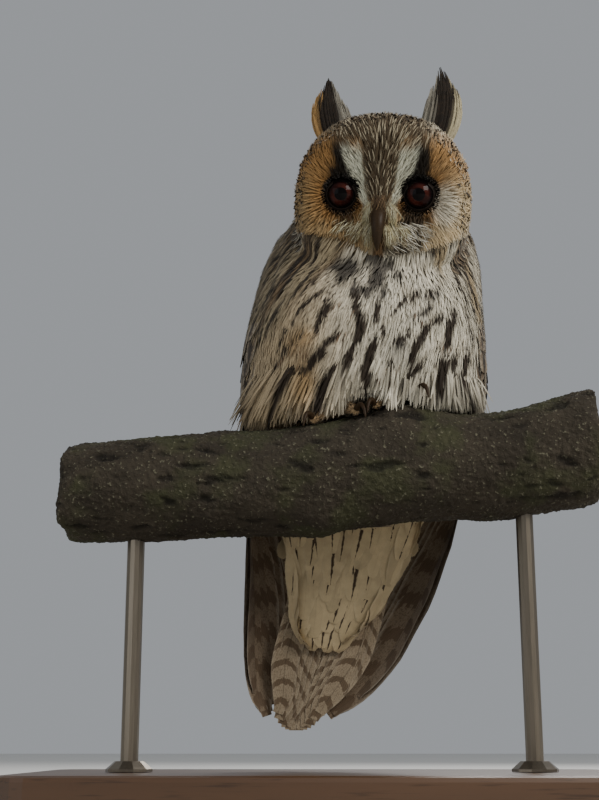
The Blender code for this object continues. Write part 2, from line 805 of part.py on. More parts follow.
def build():
    """Make every piece, then cut the soft ones round the firm ones."""
    clear_scene()
    owl = new_collection("long_eared_owl")
    cutters = new_collection("cutters")
    finishes = make_finishes()
    pale = finishes["plumage_pale"]
    brown = finishes["plumage_brown"]

    perch = make_perch(owl, finishes["bark"])
    perch_room = grown_cutter(perch, cutters)
    base = make_base(owl, finishes["base_wood"])
    for side_name, x in (("left", -ROD_X), ("right", ROD_X)):
        rod = make_rod("stand_rod_" + side_name, x, owl, finishes["rod_metal"])
        cut(rod, perch_room)
        make_collar("stand_collar_" + side_name, x, owl, finishes["rod_metal"])

    whole = make_head_whole(cutters)
    whole.matrix_world = head_matrix()
    hide_cutter(whole)
    head_room = grown_cutter(whole, cutters, HEAD_ROOM)
    face = head_piece("facial_disc", whole, True, owl, finishes["plumage_face"])
    head = head_piece("head", whole, False, owl, brown)
    upper, lower = make_bill(owl, finishes["horn"])
    upper_room = grown_cutter(upper, cutters)
    cut(lower, upper_room)
    rooms = [upper_room, grown_cutter(lower, cutters)]
    for side_name, side in (("right", -1), ("left", 1)):
        eye = make_eye("eye_" + side_name, side, owl, finishes["eye"])
        rooms.append(grown_cutter(eye, cutters))
    for name, *route in TUFT_ROUTES:
        tuft = make_ear_tuft(name, route, owl, brown)
        rooms.append(grown_cutter(tuft, cutters))
    for room in rooms:
        cut(face, room)
        cut(head, room)

    wing_rooms = []
    for side_name, side in (("right", -1), ("left", 1)):
        wing = make_wing("wing_" + side_name, side, owl, brown)
        wing_rooms.append(grown_cutter(wing, cutters))

    neck = body_loft("neck", NECK_CUT_Z + GAP, BODY_TOP_Z, 6, owl, brown)
    trunk = body_loft("trunk", VENT_CUT_Z, NECK_CUT_Z, BODY_RINGS, owl, pale)
    vent = make_vent(owl, pale)
    tail = make_tail(owl, brown)
    tail_room = grown_cutter(tail, cutters)
    cut(neck, head_room)
    cut(trunk, head_room)
    cut(trunk, grown_cutter(perch, cutters, FOOT_ROOM))
    cut(vent, perch_room)
    cut(vent, tail_room)
    for room in wing_rooms:
        cut(neck, room)
        cut(trunk, room)
        cut(vent, room)
        cut(tail, room)

    sides = (("right", RIGHT_FOOT, RIGHT_THIGH, -1), ("left", LEFT_FOOT, LEFT_THIGH, 1))
    for side_name, centre, thigh, mirror in sides:
        palm = make_palm("palm_" + side_name, centre, cutters, None)
        foot, toes, claws = make_foot(side_name, centre, mirror, owl, cutters, finishes)
        cut(foot, perch_room)
        for claw in claws:
            cut(foot, grown_cutter(claw, cutters))
        leg = make_leg("leg_" + side_name, centre, thigh, owl, pale)
        hide_cutter(palm)
        cut(leg, perch_room)
        for firm in [palm] + toes:
            cut(leg, grown_cutter(firm, cutters))
        leg_room = grown_cutter(leg, cutters)
        cut(trunk, leg_room)


build()
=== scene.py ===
# %% [markdown]
# # A long-eared owl on its perch
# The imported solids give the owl's true outline, out to the tips of its feathers. Here it gets its
# looks: one skin under everything, and thousands of feathers laid over it as thin curved vanes.

# %% Load the frame
import math
import bmesh
import bpy
import numpy as np
from mathutils import Matrix, Vector
from mathutils import noise as bark_noise
from mathutils.bvhtree import BVHTree


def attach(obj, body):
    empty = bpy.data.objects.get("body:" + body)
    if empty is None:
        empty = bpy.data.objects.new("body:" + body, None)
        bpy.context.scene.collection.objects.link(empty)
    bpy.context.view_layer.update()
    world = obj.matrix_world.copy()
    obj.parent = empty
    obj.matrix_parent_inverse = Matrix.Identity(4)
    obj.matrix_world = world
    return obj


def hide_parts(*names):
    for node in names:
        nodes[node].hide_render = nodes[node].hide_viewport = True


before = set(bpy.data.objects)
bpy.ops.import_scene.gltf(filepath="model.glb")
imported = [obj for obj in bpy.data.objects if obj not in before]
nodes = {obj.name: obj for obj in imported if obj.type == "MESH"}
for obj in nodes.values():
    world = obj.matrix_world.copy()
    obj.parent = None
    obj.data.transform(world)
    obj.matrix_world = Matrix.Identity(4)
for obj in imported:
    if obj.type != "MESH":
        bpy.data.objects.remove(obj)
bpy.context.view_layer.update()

MM = 0.001

# %% [markdown]
# ## Camera
# The photographer stood well below the branch and looked up, so the camera is low and tilted
# upwards. The lens is long enough for the owl to fill the picture as it does in the photo. The
# sensor's long side is 24 mm, which makes the lens number easy to compare with a film camera's.

# %% Camera
camera_data = bpy.data.cameras.new("photo_camera")
camera_data.sensor_width = 24.0
camera_data.lens = 39.3
camera = bpy.data.objects.new("photo_camera", camera_data)
camera.location = (-0.018, -0.760, 0.036)
camera.rotation_euler = (math.radians(104.8), 0.0, 0.0)
bpy.context.scene.collection.objects.link(camera)
bpy.context.scene.camera = camera
print("camera height:", camera.location.z)

# %% [markdown]
# ## Floor and light
# A display model is shown on a plain pale floor. In the photo the light is soft, stronger from the
# viewer's right and from above, so the large key light stands there, a weaker one fills the other
# side, and a third behind picks out the edges of the feathers.

# %% Floor and light
def plain_material(name, colour, roughness):
    """A material of one colour, for things that are no part of the owl."""
    material = bpy.data.materials.new(name)
    material.use_nodes = True
    shader = material.node_tree.nodes["Principled BSDF"]
    shader.inputs["Base Color"].default_value = (*colour, 1.0)
    shader.inputs["Roughness"].default_value = roughness
    return material


def object_from(bm, name):
    """Turn a bmesh into a linked object that sits at the origin."""
    mesh = bpy.data.meshes.new(name)
    bm.to_mesh(mesh)
    bm.free()
    thing = bpy.data.objects.new(name, mesh)
    bpy.context.scene.collection.objects.link(thing)
    return thing


floor_bm = bmesh.new()
bmesh.ops.create_grid(floor_bm, x_segments=1, y_segments=1, size=6.0)
floor = object_from(floor_bm, "floor")
floor.location.z = -0.0005
floor.data.materials.append(plain_material("floor_paint", (0.74, 0.73, 0.70), 0.9))


def soft_light(name, place, size, power, colour):
    """A square light that faces the owl's breast."""
    data = bpy.data.lights.new(name, "AREA")
    data.shape = "SQUARE"
    data.size = size
    data.energy = power
    data.color = colour
    light = bpy.data.objects.new(name, data)
    light.location = place
    light.rotation_euler = (Vector((0.02, 0, 0.28)) - light.location).to_track_quat("-Z", "Y").to_euler()
    bpy.context.scene.collection.objects.link(light)
    return light


soft_light("key_light", (1.25, -1.15, 1.35), 0.9, 33.0, (1.0, 0.97, 0.92))
soft_light("fill_light", (-1.5, -1.1, 0.7), 1.4, 5.5, (0.92, 0.96, 1.0))
soft_light("rim_light", (0.5, 1.5, 1.3), 0.9, 16.0, (1.0, 0.98, 0.95))
world = bpy.data.worlds.new("soft_sky")
world.use_nodes = True
world.node_tree.nodes["Background"].inputs["Color"].default_value = (0.86, 0.90, 0.95, 1.0)
world.node_tree.nodes["Background"].inputs["Strength"].default_value = 0.38
bpy.context.scene.world = world
print("lights: key, fill and rim")

# %% [markdown]
# ## The head's own frame
# The head is bent down and turned a little, so places on the face are easier to give in the head's
# own frame: X to the viewer's right, Y to the back of the head, Z to the crown, in millimetres. One
# matrix turns such a place into the frame of the whole model, and its inverse turns it back.

# %% The head's frame
HEAD_CENTRE = Vector((33, -20, 357)) * MM
EYE_X = 22.8
EYE_Z = 2.5
EYE_RADIUS = 10.2
EYE_CENTRE_Y = -24.3
head_turn = Matrix.Rotation(math.radians(-8), 4, "Z") @ Matrix.Rotation(math.radians(21), 4, "X")
head_turn = head_turn @ Matrix.Rotation(math.radians(3.7), 4, "Y")
head_place = Matrix.Translation(HEAD_CENTRE) @ head_turn @ Matrix.Scale(MM, 4)
head_axes = np.array(head_turn.to_3x3())


def to_head(points):
    """Places of the whole model, read in the head's frame in millimetres."""
    return (points - np.array(HEAD_CENTRE)) @ head_axes / MM


def place_in_head(points):
    """Places in the head's frame in millimetres, turned into the model's frame."""
    return points * MM @ head_axes.T + np.array(HEAD_CENTRE)


def fade(start, end, value):
    """0 before start, 1 past end, and a smooth step between the two."""
    share = np.clip((value - start) / (end - start), 0.0, 1.0)
    return share * share * (3 - 2 * share)


def unit(vectors):
    """The same directions with a length of one."""
    return vectors / np.maximum(np.linalg.norm(vectors, axis=-1, keepdims=True), 1e-12)


def mix(first, second, share):
    """Blend two colours by a share for each place."""
    share = np.asarray(share)[..., None]
    return np.asarray(first) * (1 - share) + np.asarray(second) * share


def blotches(points, size, seed):
    """Soft random patches in space, from about -1 to 1."""
    rng = np.random.default_rng(seed)
    total = np.zeros(points.shape[:-1])
    for _ in range(9):
        direction = unit(rng.standard_normal(3))
        turns = points @ direction * (2 * math.pi / size * rng.uniform(0.7, 1.4))
        total += np.sin(turns + rng.uniform(0, 6.28))
    return total / 3


right_eye = head_place @ Vector((-EYE_X, EYE_CENTRE_Y, EYE_Z))
print("middle of the owl's right eye:", [round(v, 4) for v in right_eye])

# %% [markdown]
# ## The coat's surface
# Feather tips end on one smooth surface, the outside of all the fleshy solids together. A voxel
# remesh makes it: each solid's copy is grown by half a millimetre so that the thin gaps close, the
# copies are joined, and the remesh keeps only what can be seen from outside. Long thin feathers are
# cut off first, because a voxel can't hold them, and they are laid later on the solids themselves.

# %% The coat's surface
FLESH = (
    "head", "facial_disc", "neck", "trunk", "wing_left", "wing_right", "leg_left", "leg_right",
    "foot_left", "foot_right", "undertail_coverts",
)
LONG_FEATHERS_BELOW = {"wing_left": 0.205, "wing_right": 0.205, "undertail_coverts": 0.172}
VOXEL = 2.2 * MM


def node_copy(name):
    """A merged copy of one solid as a bmesh, with its faces pointing out."""
    bm = bmesh.new()
    bm.from_mesh(nodes[name].data)
    bmesh.ops.remove_doubles(bm, verts=bm.verts, dist=1e-6)
    bmesh.ops.recalc_face_normals(bm, faces=bm.faces)
    return bm


def grown_copy(name, growth):
    """A copy of one solid, grown all round and cut off where its long feathers start."""
    bm = node_copy(name)
    if name in LONG_FEATHERS_BELOW:
        geometry = list(bm.verts) + list(bm.edges) + list(bm.faces)
        bmesh.ops.bisect_plane(
            bm, geom=geometry, dist=1e-7, plane_co=(0, 0, LONG_FEATHERS_BELOW[name]),
            plane_no=(0, 0, -1), clear_outer=True,
        )
        bmesh.ops.holes_fill(bm, edges=[edge for edge in bm.edges if edge.is_boundary])
    bm.normal_update()
    for vert in bm.verts:
        vert.co += vert.normal * growth
    return bm


def remeshed(bm, name):
    """The outer surface of a bmesh in even voxels."""
    rough = object_from(bm, name)
    voxels = rough.modifiers.new("voxels", "REMESH")
    voxels.mode = "VOXEL"
    voxels.voxel_size = VOXEL
    even = bpy.data.meshes.new_from_object(rough.evaluated_get(bpy.context.evaluated_depsgraph_get()))
    bpy.data.objects.remove(rough)
    return even


def keep_largest(bm):
    """Drop every closed shell but the one with the most points."""
    unseen = set(bm.verts)
    shells = []
    while unseen:
        first = unseen.pop()
        shell = {first}
        front = [first]
        while front:
            for edge in front.pop().link_edges:
                for vert in edge.verts:
                    if vert in unseen:
                        unseen.discard(vert)
                        shell.add(vert)
                        front.append(vert)
        shells.append(shell)
    shells.sort(key=len)
    for shell in shells[:-1]:
        bmesh.ops.delete(bm, geom=list(shell), context="VERTS")
    return len(shells)


joined = bmesh.new()
for name in FLESH:
    part = grown_copy(name, 0.5 * MM)
    carrier = bpy.data.meshes.new("carrier")
    part.to_mesh(carrier)
    part.free()
    joined.from_mesh(carrier)
    bpy.data.meshes.remove(carrier)
coat_mesh = remeshed(joined, "coat_rough")
coat_bm = bmesh.new()
coat_bm.from_mesh(coat_mesh)
shell_count = keep_largest(coat_bm)
for _ in range(3):
    bmesh.ops.smooth_vert(
        coat_bm, verts=coat_bm.verts, factor=0.5, use_axis_x=True, use_axis_y=True, use_axis_z=True
    )
bmesh.ops.triangulate(coat_bm, faces=coat_bm.faces)
bmesh.ops.recalc_face_normals(coat_bm, faces=coat_bm.faces)
coat_bm.to_mesh(coat_mesh)
coat_bm.free()
print("coat surface:", len(coat_mesh.vertices), "points,", shell_count, "shells before the cut")

# %% [markdown]
# ## Laying things on a surface
# A feather's shaft runs over the surface from its root. The nearest point of a surface and its
# smooth normal are asked for thousands of times, so a small class keeps the surface's arrays and a
# search tree together.

# %% A surface that can be searched
class Surface:
    """A smooth surface of triangles on which feathers can be laid."""

    def __init__(self, mesh):
        mesh.calc_loop_triangles()
        count = len(mesh.vertices)
        self.points = np.empty(count * 3)
        mesh.vertices.foreach_get("co", self.points)
        self.points = self.points.reshape(-1, 3)
        self.faces = np.empty(len(mesh.loop_triangles) * 3, dtype=np.int64)
        mesh.loop_triangles.foreach_get("vertices", self.faces)
        self.faces = self.faces.reshape(-1, 3)
        self.edges = np.empty(len(mesh.edges) * 2, dtype=np.int64)
        mesh.edges.foreach_get("vertices", self.edges)
        self.edges = self.edges.reshape(-1, 2)
        corners = self.points[self.faces]
        self.face_normals = np.cross(corners[:, 1] - corners[:, 0], corners[:, 2] - corners[:, 0])
        self.areas = np.linalg.norm(self.face_normals, axis=1) / 2
        self.normals = np.zeros_like(self.points)
        for corner in range(3):
            np.add.at(self.normals, self.faces[:, corner], self.face_normals)
        self.normals = unit(self.normals)
        self.tree = BVHTree.FromPolygons(self.points.tolist(), self.faces.tolist())

    def nearest(self, points):
        """The nearest places, their smooth normals, and the face that each is on."""
        found = [self.tree.find_nearest(point) for point in points.tolist()]
        places = np.array([place[:] for place, _, _, _ in found])
        faces = np.array([face for _, _, face, _ in found])
        corners = self.faces[faces]
        gaps = np.linalg.norm(self.points[corners] - places[:, None], axis=2)
        weights = 1 / (gaps + 1e-5)
        normals = unit((self.normals[corners] * weights[:, :, None]).sum(axis=1))
        return places, normals, faces

    def blurred(self, values, rounds):
        """Spread values over neighbouring points."""
        count = np.bincount(self.edges.ravel(), minlength=len(self.points)).astype(float)
        shape = (-1,) + (1,) * (values.ndim - 1)
        for _ in range(rounds):
            total = np.zeros_like(values)
            np.add.at(total, self.edges[:, 0], values[self.edges[:, 1]])
            np.add.at(total, self.edges[:, 1], values[self.edges[:, 0]])
            values = 0.5 * values + 0.5 * total / count.reshape(shape)
        return values


coat = Surface(coat_mesh)
coat.normals = unit(coat.blurred(coat.normals, 3))
print("coat area in square centimetres:", round(coat.areas.sum() * 1e4))

# %% [markdown]
# ## Which part of the owl each place belongs to
# The solids are already named as a person would name them, so the nearest solid tells whether a
# place is on the face, the crown, the neck, the trunk, a wing, a leg or a foot. The coat's depth
# differs between them: a few millimetres on the face, more than a centimetre on the neck.

# %% Parts and coat depth
PARTS = {
    "facial_disc": ("face", 3.0), "head": ("crown", 5.5), "neck": ("neck", 11.0),
    "trunk": ("trunk", 9.0), "wing_left": ("wing", 8.0), "wing_right": ("wing", 8.0),
    "leg_left": ("leg", 4.5), "leg_right": ("leg", 4.5), "foot_left": ("foot", 0.9),
    "foot_right": ("foot", 0.9), "undertail_coverts": ("trunk", 5.0),
}
part_names = sorted({part for part, _ in PARTS.values()})
gap_to_node = []
for name in PARTS:
    solid = node_copy(name)
    tree = BVHTree.FromBMesh(solid)
    gap_to_node.append([tree.find_nearest(point)[3] for point in coat.points.tolist()])
    solid.free()
nearest_node = np.argmin(np.array(gap_to_node), axis=0)
part_of_node = np.array([part_names.index(part) for part, _ in PARTS.values()])
depth_of_node = np.array([depth for _, depth in PARTS.values()]) * MM
coat_part = part_of_node[nearest_node]
coat_depth = coat.blurred(depth_of_node[nearest_node], 12)
feet = coat_part == part_names.index("foot")
coat_depth[feet] = np.minimum(coat_depth[feet], 1.2 * MM)
print({part: int((coat_part == index).sum()) for index, part in enumerate(part_names)})

# %% [markdown]
# ## Plumage colours
# One set of functions says what colour the plumage has at a place, and both the skin and the
# feathers ask it, so a gap between two feathers never shows a wrong colour. A feather has a ground
# colour and a mark colour for its streak and bars. On the face the markings are large: a dark band
# over each eye, two whitish streaks that spread upwards from the bill like a V, a dark speckled
# wedge between them, and a buff disc that pales towards its rim.

# %% Colours of the face
RUST = (0.34, 0.175, 0.055)
SHADED_BUFF = (0.32, 0.215, 0.10)
LIT_BUFF = (0.52, 0.40, 0.23)
SHADED_RIM = (0.25, 0.205, 0.12)
LIT_RIM = (0.66, 0.62, 0.50)
LIT_PALE = (0.68, 0.64, 0.52)
WHITE = (0.68, 0.67, 0.53)
OLIVE = (0.36, 0.31, 0.16)
BLACK = (0.020, 0.015, 0.010)
WEDGE = (0.085, 0.060, 0.034)
BRIDGE = (0.12, 0.070, 0.032)
STREAK_Z = (-23, -15, -3, 5, 13, 26, 36)
STREAK_INNER = (3, 4.5, 6, 8, 8.8, 10, 11)
STREAK_OUTER = (6, 10, 11, 13.7, 18.0, 22, 21)
RIM_X = (-52, -35, -20, -7, 0, 12, 24, 38, 52)
RIM_Z = (-17, -20.5, -22.6, -29.7, -31.5, -31, -29, -25, -18)


def near_line(x, z, start, end):
    """Distance to a short line on the face."""
    start = np.array(start, dtype=float)
    step = np.array(end, dtype=float) - start
    share = np.clip(((x - start[0]) * step[0] + (z - start[1]) * step[1]) / (step @ step), 0, 1)
    return np.hypot(x - start[0] - share * step[0], z - start[1] - share * step[1])


def oval(x, z, middle, half_width, half_height):
    """0 in the middle of an oval patch, 1 on its edge."""
    return np.hypot((x - middle[0]) / half_width, (z - middle[1]) / half_height)


def face_colours(points):
    """Colour of the face at each place, from its markings in the head's frame."""
    head = to_head(points)
    x, y, z = head[..., 0], head[..., 1], head[..., 2]
    out = np.abs(x)
    from_eye = np.hypot(out - EYE_X, z - EYE_Z)
    lit_side = fade(-10, 10, x)
    ragged = 2.2 * blotches(points, 0.006, 5)
    buff = mix(SHADED_BUFF, LIT_BUFF, lit_side)
    colour = mix(RUST, buff, fade(10, 24, from_eye + ragged))
    # A pale oval on the lit side of the disc: a painted pool of light.
    colour = mix(colour, LIT_PALE, 0.8 * lit_side * fade(1.3, 0.5, oval(x, z, (37, -3), 8, 12)))
    colour = mix(colour, RUST, 0.85 * fade(6, 24, z + 0.25 * (out - 30) + ragged))
    rim = mix(SHADED_RIM, LIT_RIM, lit_side)
    colour = mix(colour, rim, fade(27, 42, from_eye + ragged) * 0.85)
    inner = np.interp(z, STREAK_Z, STREAK_INNER)
    outer = np.interp(z, STREAK_Z, STREAK_OUTER)
    over_eye = fade(8.4, 3.8, near_line(out, z, (21.0, 8), (23, 33)) + 0.5 * ragged)
    colour = mix(colour, BLACK, over_eye * fade(38, 26, z))
    above_eye = fade(1.25, 0.65, oval(out, z, (19.5, 11.5), 11, 8.5) + 0.1 * ragged)
    colour = mix(colour, BLACK, above_eye)
    below_right = fade(1.45, 0.55, oval(x, z, (19.5, -14), 7.5, 10.5) + 0.1 * ragged)
    below_left = fade(1.45, 0.6, oval(x, z, (-20, -10), 5.5, 6.5) + 0.1 * ragged) * 0.8
    under_bill = fade(1.35, 0.7, oval(x, z, (14, -27), 12, 5) + 0.1 * ragged)
    colour = mix(colour, BLACK, np.maximum(np.maximum(below_right, below_left), under_bill) * 0.92)
    streak = fade(inner - 1, inner + 1, out) * fade(outer + 1.8, outer - 1.8, out) * fade(32, 23, z)
    streak = streak * fade(-29, -20, z)
    colour = mix(colour, mix(OLIVE, WHITE, fade(-14, 1, z)), streak)
    wedge = fade(inner + 1, inner - 1, out) * fade(-4, 0, z)
    colour = mix(colour, WEDGE, wedge)
    bridge = fade(inner + 1, inner - 1, out) * fade(1, -4, z)
    colour = mix(colour, BRIDGE, bridge)
    colour = mix(colour, WEDGE, fade(27, 35, z) * fade(36, 22, out))
    rim_reach = 10.6 + 1.6 * fade(-4, 6, z - EYE_Z)
    return mix(colour, BLACK, fade(rim_reach, rim_reach - 1.8, from_eye))

# %% [markdown]
# On the body the ground colour runs from a buff grey on the upper breast to a cream white on the
# belly, with an ochre tinge on the owl's right, and the back and wings are a mottled grey brown.

# Each mark is a line of places, x and z in millimetres, with the mark's half width there: bold shaft
# streaks, soft grey clouds on the upper breast, part of them a painted shadow in a band just under
# the disc, and thin brown bars that arch away from the streaks.

# %% Marks of the breast and belly
STREAKS = (
    ((-1, 282, 2.2), (-5.5, 275, 2.1), (-10, 262, 1.0)),
    ((4, 265, 1.0), (-2, 258, 2.2), (-7.5, 252, 2.4), (-15, 244, 1.2)),
    ((13, 288, 1.8), (15, 279, 2.2), (17, 270, 2.6), (15, 258, 1.7)),
    ((27, 281, 1.7), (25, 271, 1.3)),
    ((13, 258, 1.5), (10.5, 251, 2.2), (7, 245, 1.7)),
    ((25, 260, 1.7), (22, 252, 2.2), (20, 243, 2.5), (19.5, 235, 1.8)),
    ((29, 267, 1.3), (30.5, 261, 0.9)),
    ((34, 249, 1.1), (34, 243, 0.5)),
    ((51, 290, 1.3), (40, 281, 0.9), (33, 275, 0.6)),
    ((64, 276, 1.9), (53, 267, 1.3)),
    ((44, 264, 1.7), (36, 258, 1.0)),
    ((53, 264, 1.7), (48, 256, 1.9), (45, 246, 1.0)),
    ((51, 247, 1.5), (46, 242, 1.9), (42, 236, 0.8)),
    ((72, 279, 2.0), (69, 268, 2.0), (67.5, 259, 1.1)),
    ((59, 253, 0.6), (62, 248, 1.1)),
    ((66.5, 252, 2.2), (64.5, 244, 2.6), (64, 238, 2.2), (62, 227, 1.5)),
    ((72.5, 255, 1.3), (71, 246, 1.1)),
    ((81, 260, 1.2), (78, 246, 1.7)),
    ((75, 245, 1.1), (80, 237, 1.6), (83.5, 230, 1.4), (85, 218, 0.9)),
    ((81, 277, 0.8), (85.5, 265, 1.1)),
    ((86.5, 259, 0.7), (90.5, 248, 0.8)),
    ((-17, 245, 1.1), (-27, 240, 1.4), (-32, 232, 1.6), (-35, 222, 1.4), (-37, 212, 0.9)),
    ((-16.5, 265, 0.7), (-24, 261, 1.0), (-31, 252, 1.0), (-35, 244, 0.6)),
    ((1, 244, 1.5), (-4.5, 236, 2.6), (-6, 230, 2.4), (-10, 216, 2.0)),
    ((58, 291, 1.0), (55, 285, 0.7)),
    ((2, 294, 1.0), (-14, 285, 1.5), (-23, 272, 0.8)),
    ((-8, 301, 1.2), (-17, 292, 0.8)),
    ((-12, 286, 1.2), (-18, 278, 0.7)),
    ((-21.5, 305, 1.0), (-28, 286, 1.3), (-33, 273, 0.8)),
    ((-15, 307, 1.3), (-21.5, 296, 0.8)),
    ((1, 289, 0.9), (-5, 283, 0.5)),
    ((-26.5, 268, 1.2), (-31.5, 258, 0.6)),
)
# Dark grey clouds of the upper breast; a band of them just under the disc is painted shadow.
CLOUDS_AND_SHADOW = (
    ((-1, 310, 3.5), (12, 305, 4.5)), ((12, 309, 3.0), (6, 300, 3.0)), ((28, 304, 3.5), (26, 295, 4.0)),
    ((22, 311, 2.2), (35, 308, 2.2)), ((38, 304, 1.7), (40, 299, 1.7)), ((14, 292, 2.5), (21, 289, 3.0)),
    ((31, 290, 1.7), (30, 286, 1.4)), ((-17, 322, 2.7), (-5, 319, 2.4), (6, 318, 1.4)),
    ((58, 280, 2.0), (48, 272, 1.4)), ((62, 292, 1.7), (56, 286, 1.5)), ((40, 258, 2.0), (38, 256, 1.7)),
)
THIN_BARS = (
    ((-5.5, 271, 0.4), (-2, 278, 0.5), (5, 280, 0.4)), ((-2, 258, 0.5), (3, 262, 0.5), (8, 262, 0.3)),
    ((-32, 248, 0.4), (-26, 254, 0.5), (-18, 255, 0.5), (-13, 252, 0.4)),
    ((-27, 243, 0.4), (-22, 246, 0.4), (-17, 245, 0.5)), ((4, 244, 0.4), (8, 244.5, 0.5), (13, 244, 0.3)),
    ((59, 254, 0.4), (61, 251, 0.5)), ((-10, 236, 0.4), (-5, 237, 0.5)), ((11.5, 273, 0.4), (13.5, 276, 0.4)),
    ((27, 241, 0.4), (33, 241, 0.4)), ((27, 236, 0.3), (34, 234, 0.3)), ((64, 260, 0.4), (69, 257, 0.4)),
    ((34, 244, 0.3), (40, 244, 0.3)), ((49, 276, 0.5), (53, 273, 0.4)), ((-15, 252, 0.4), (-12, 252, 0.4)),
)
SHOULDER_Z = (255, 265, 270, 282, 297, 309, 325)
RIGHT_SHOULDER_X = (-50, -41, -34, -24, -13, 0, 14)
LEFT_SHOULDER_X = (96, 90, 85, 80, 73, 61, 48)
print("drawn marks:", len(STREAKS) + len(CLOUDS_AND_SHADOW) + len(THIN_BARS))

# %% Colours of the body
CREAM = (0.66, 0.61, 0.49)
OCHRE = (0.46, 0.26, 0.085)
GREY_BUFF = (0.44, 0.38, 0.27)
BROWN = (0.16, 0.118, 0.078)
STREAK_BLACK = (0.034, 0.024, 0.016)
TOE_BUFF = (0.33, 0.225, 0.12)


def front_colours(points):
    """Ground colour of the breast and belly."""
    x, z = points[..., 0] / MM, points[..., 2] / MM
    lit_side = fade(-40, 40, x)
    colour = mix((0.50, 0.39, 0.24), CREAM, 0.2 + 0.8 * lit_side)
    high_tinge = fade(1.5, 0.2, np.hypot((x + 18) / 9, (z - 262) / 7))
    low_tinge = fade(1.5, 0.2, np.hypot((x + 17) / 8, (z - 238) / 18))
    colour = mix(colour, OCHRE, 0.8 * np.maximum(high_tinge, low_tinge))
    return mix(colour, (0.40, 0.29, 0.16), 0.5 * fade(8, -25, x))


def drawn(points, lines, softness, growth):
    """How strongly some drawn lines mark each place, from 0 to 1."""
    x = points[..., 0] / MM + 0.6 * blotches(points, 0.006, 61)
    z = points[..., 2] / MM + 1.0 * blotches(points, 0.009, 62)
    strength = np.zeros(points.shape[:-1])
    for line in lines:
        for (x0, z0, half0), (x1, z1, half1) in zip(line, line[1:]):
            step_x, step_z = x1 - x0, z1 - z0
            share = np.clip(((x - x0) * step_x + (z - z0) * step_z) / (step_x ** 2 + step_z ** 2), 0, 1)
            gap = np.hypot(x - x0 - share * step_x, z - z0 - share * step_z)
            half = (half0 + (half1 - half0) * share) * growth
            strength = np.maximum(strength, fade(half * (1 + softness), half * (1 - softness), gap))
    return strength


def shoulder_colours(points):
    """Long dark and pale lines that run with the lie of the shoulders, darker on the owl's right by painted
    shade.
    """
    x, y, z = points[..., 0] / MM, points[..., 1] / MM, points[..., 2] / MM
    lit_left_side = fade(20, 48, x)
    across = x + (1.22 * lit_left_side - 0.72) * z + (1.6 * lit_left_side - 0.8) * y
    thin = blotches(np.stack([across, 0 * x, 0.16 * z], axis=-1), 5.2, 64)
    wide = blotches(np.stack([across, 0 * x, 0.20 * z], axis=-1), 15.0, 65)
    # The owl's right shoulder, on the viewer's left, takes darker copies of the same colours: painted shade.
    pale = mix((0.36, 0.29, 0.18), (0.62, 0.57, 0.45), lit_left_side)
    buff = mix((0.22, 0.15, 0.08), (0.42, 0.33, 0.20), lit_left_side)
    colour = mix(pale, buff, fade(-0.3, 0.9, wide))
    return mix(colour, (0.040, 0.030, 0.021), fade(-0.15, 0.75, thin + 0.3 * wide))


def breast_colours(points):
    """The front of the owl with every mark on it."""
    x, y, z = points[..., 0] / MM, points[..., 1] / MM, points[..., 2] / MM
    colour = front_colours(points)
    colour = mix(colour, (0.33, 0.27, 0.18), 0.30 * fade(0.0, 1.3, blotches(points, 0.012, 63)))
    marked = 1 - fade(248, 240, z) * fade(-14, -6, y)
    # Grey clouds, and the painted shadow in a band just under the disc.
    colour = mix(colour, (0.062, 0.053, 0.044), 0.95 * drawn(points, CLOUDS_AND_SHADOW, 0.5, 1.35))
    colour = mix(colour, (0.15, 0.080, 0.038), 0.9 * marked * drawn(points, THIN_BARS, 0.5, 1.5))
    colour = mix(colour, STREAK_BLACK, marked * drawn(points, STREAKS, 0.25, 1.25))
    right_edge = np.interp(z, SHOULDER_Z, RIGHT_SHOULDER_X)
    left_edge = np.interp(z, SHOULDER_Z, LEFT_SHOULDER_X)
    beside = np.maximum(fade(right_edge + 4, right_edge - 5, x), fade(left_edge - 3, left_edge + 5, x))
    shoulder = mix(shoulder_colours(points), mottled_colours(points), fade(-8, 14, y))
    return mix(colour, shoulder, beside)


def back_colours(points):
    """Ground colour of the nape, back and wings."""
    z = points[..., 2] / MM
    colour = mix(BROWN, GREY_BUFF, 0.25 + 0.25 * fade(320, 350, z))
    return mix(colour, (0.36, 0.24, 0.11), 0.3 * fade(120, 190, z) * fade(260, 200, z))


def mottled_colours(points):
    """Fine dark and grey flecks over the ground colour of the back and the wings' coverts."""
    fleck = blotches(points * (1.0, 1.0, 0.5), 0.0065, 66)
    colour = mix(back_colours(points), (0.40, 0.34, 0.24), 0.7 * fade(0.4, 1.3, fleck))
    return mix(colour, (0.040, 0.030, 0.022), 0.85 * fade(-0.1, -0.9, fleck))


def coat_colours(points, normals, parts):
    """Ground colour of the whole coat, for the skin."""
    colour = back_colours(points)
    front = fade(0.25, -0.35, normals[:, 1])
    trunk = np.isin(parts, [part_names.index(part) for part in ("trunk", "neck", "leg")])
    colour = mix(colour, breast_colours(points) * 0.7, front * trunk)
    feet = parts == part_names.index("foot")
    colour = mix(colour, TOE_BUFF, feet.astype(float))
    face = parts == part_names.index("face")
    colour = mix(colour, face_colours(points), face.astype(float))
    return colour


print("colours of the whole coat come from", face_colours.__name__, "and its companions")

# %% [markdown]
# ## Materials of the plumage
# A vane's own map says how far across and along the feather a place is. From it come the dark shaft
# streak, the cross bars, the pale fringe and the fine lines of the barbs, and noise in the model's
# own space makes their edges ragged. The strengths come from attributes that every feather carries,
# so one material serves all of them.

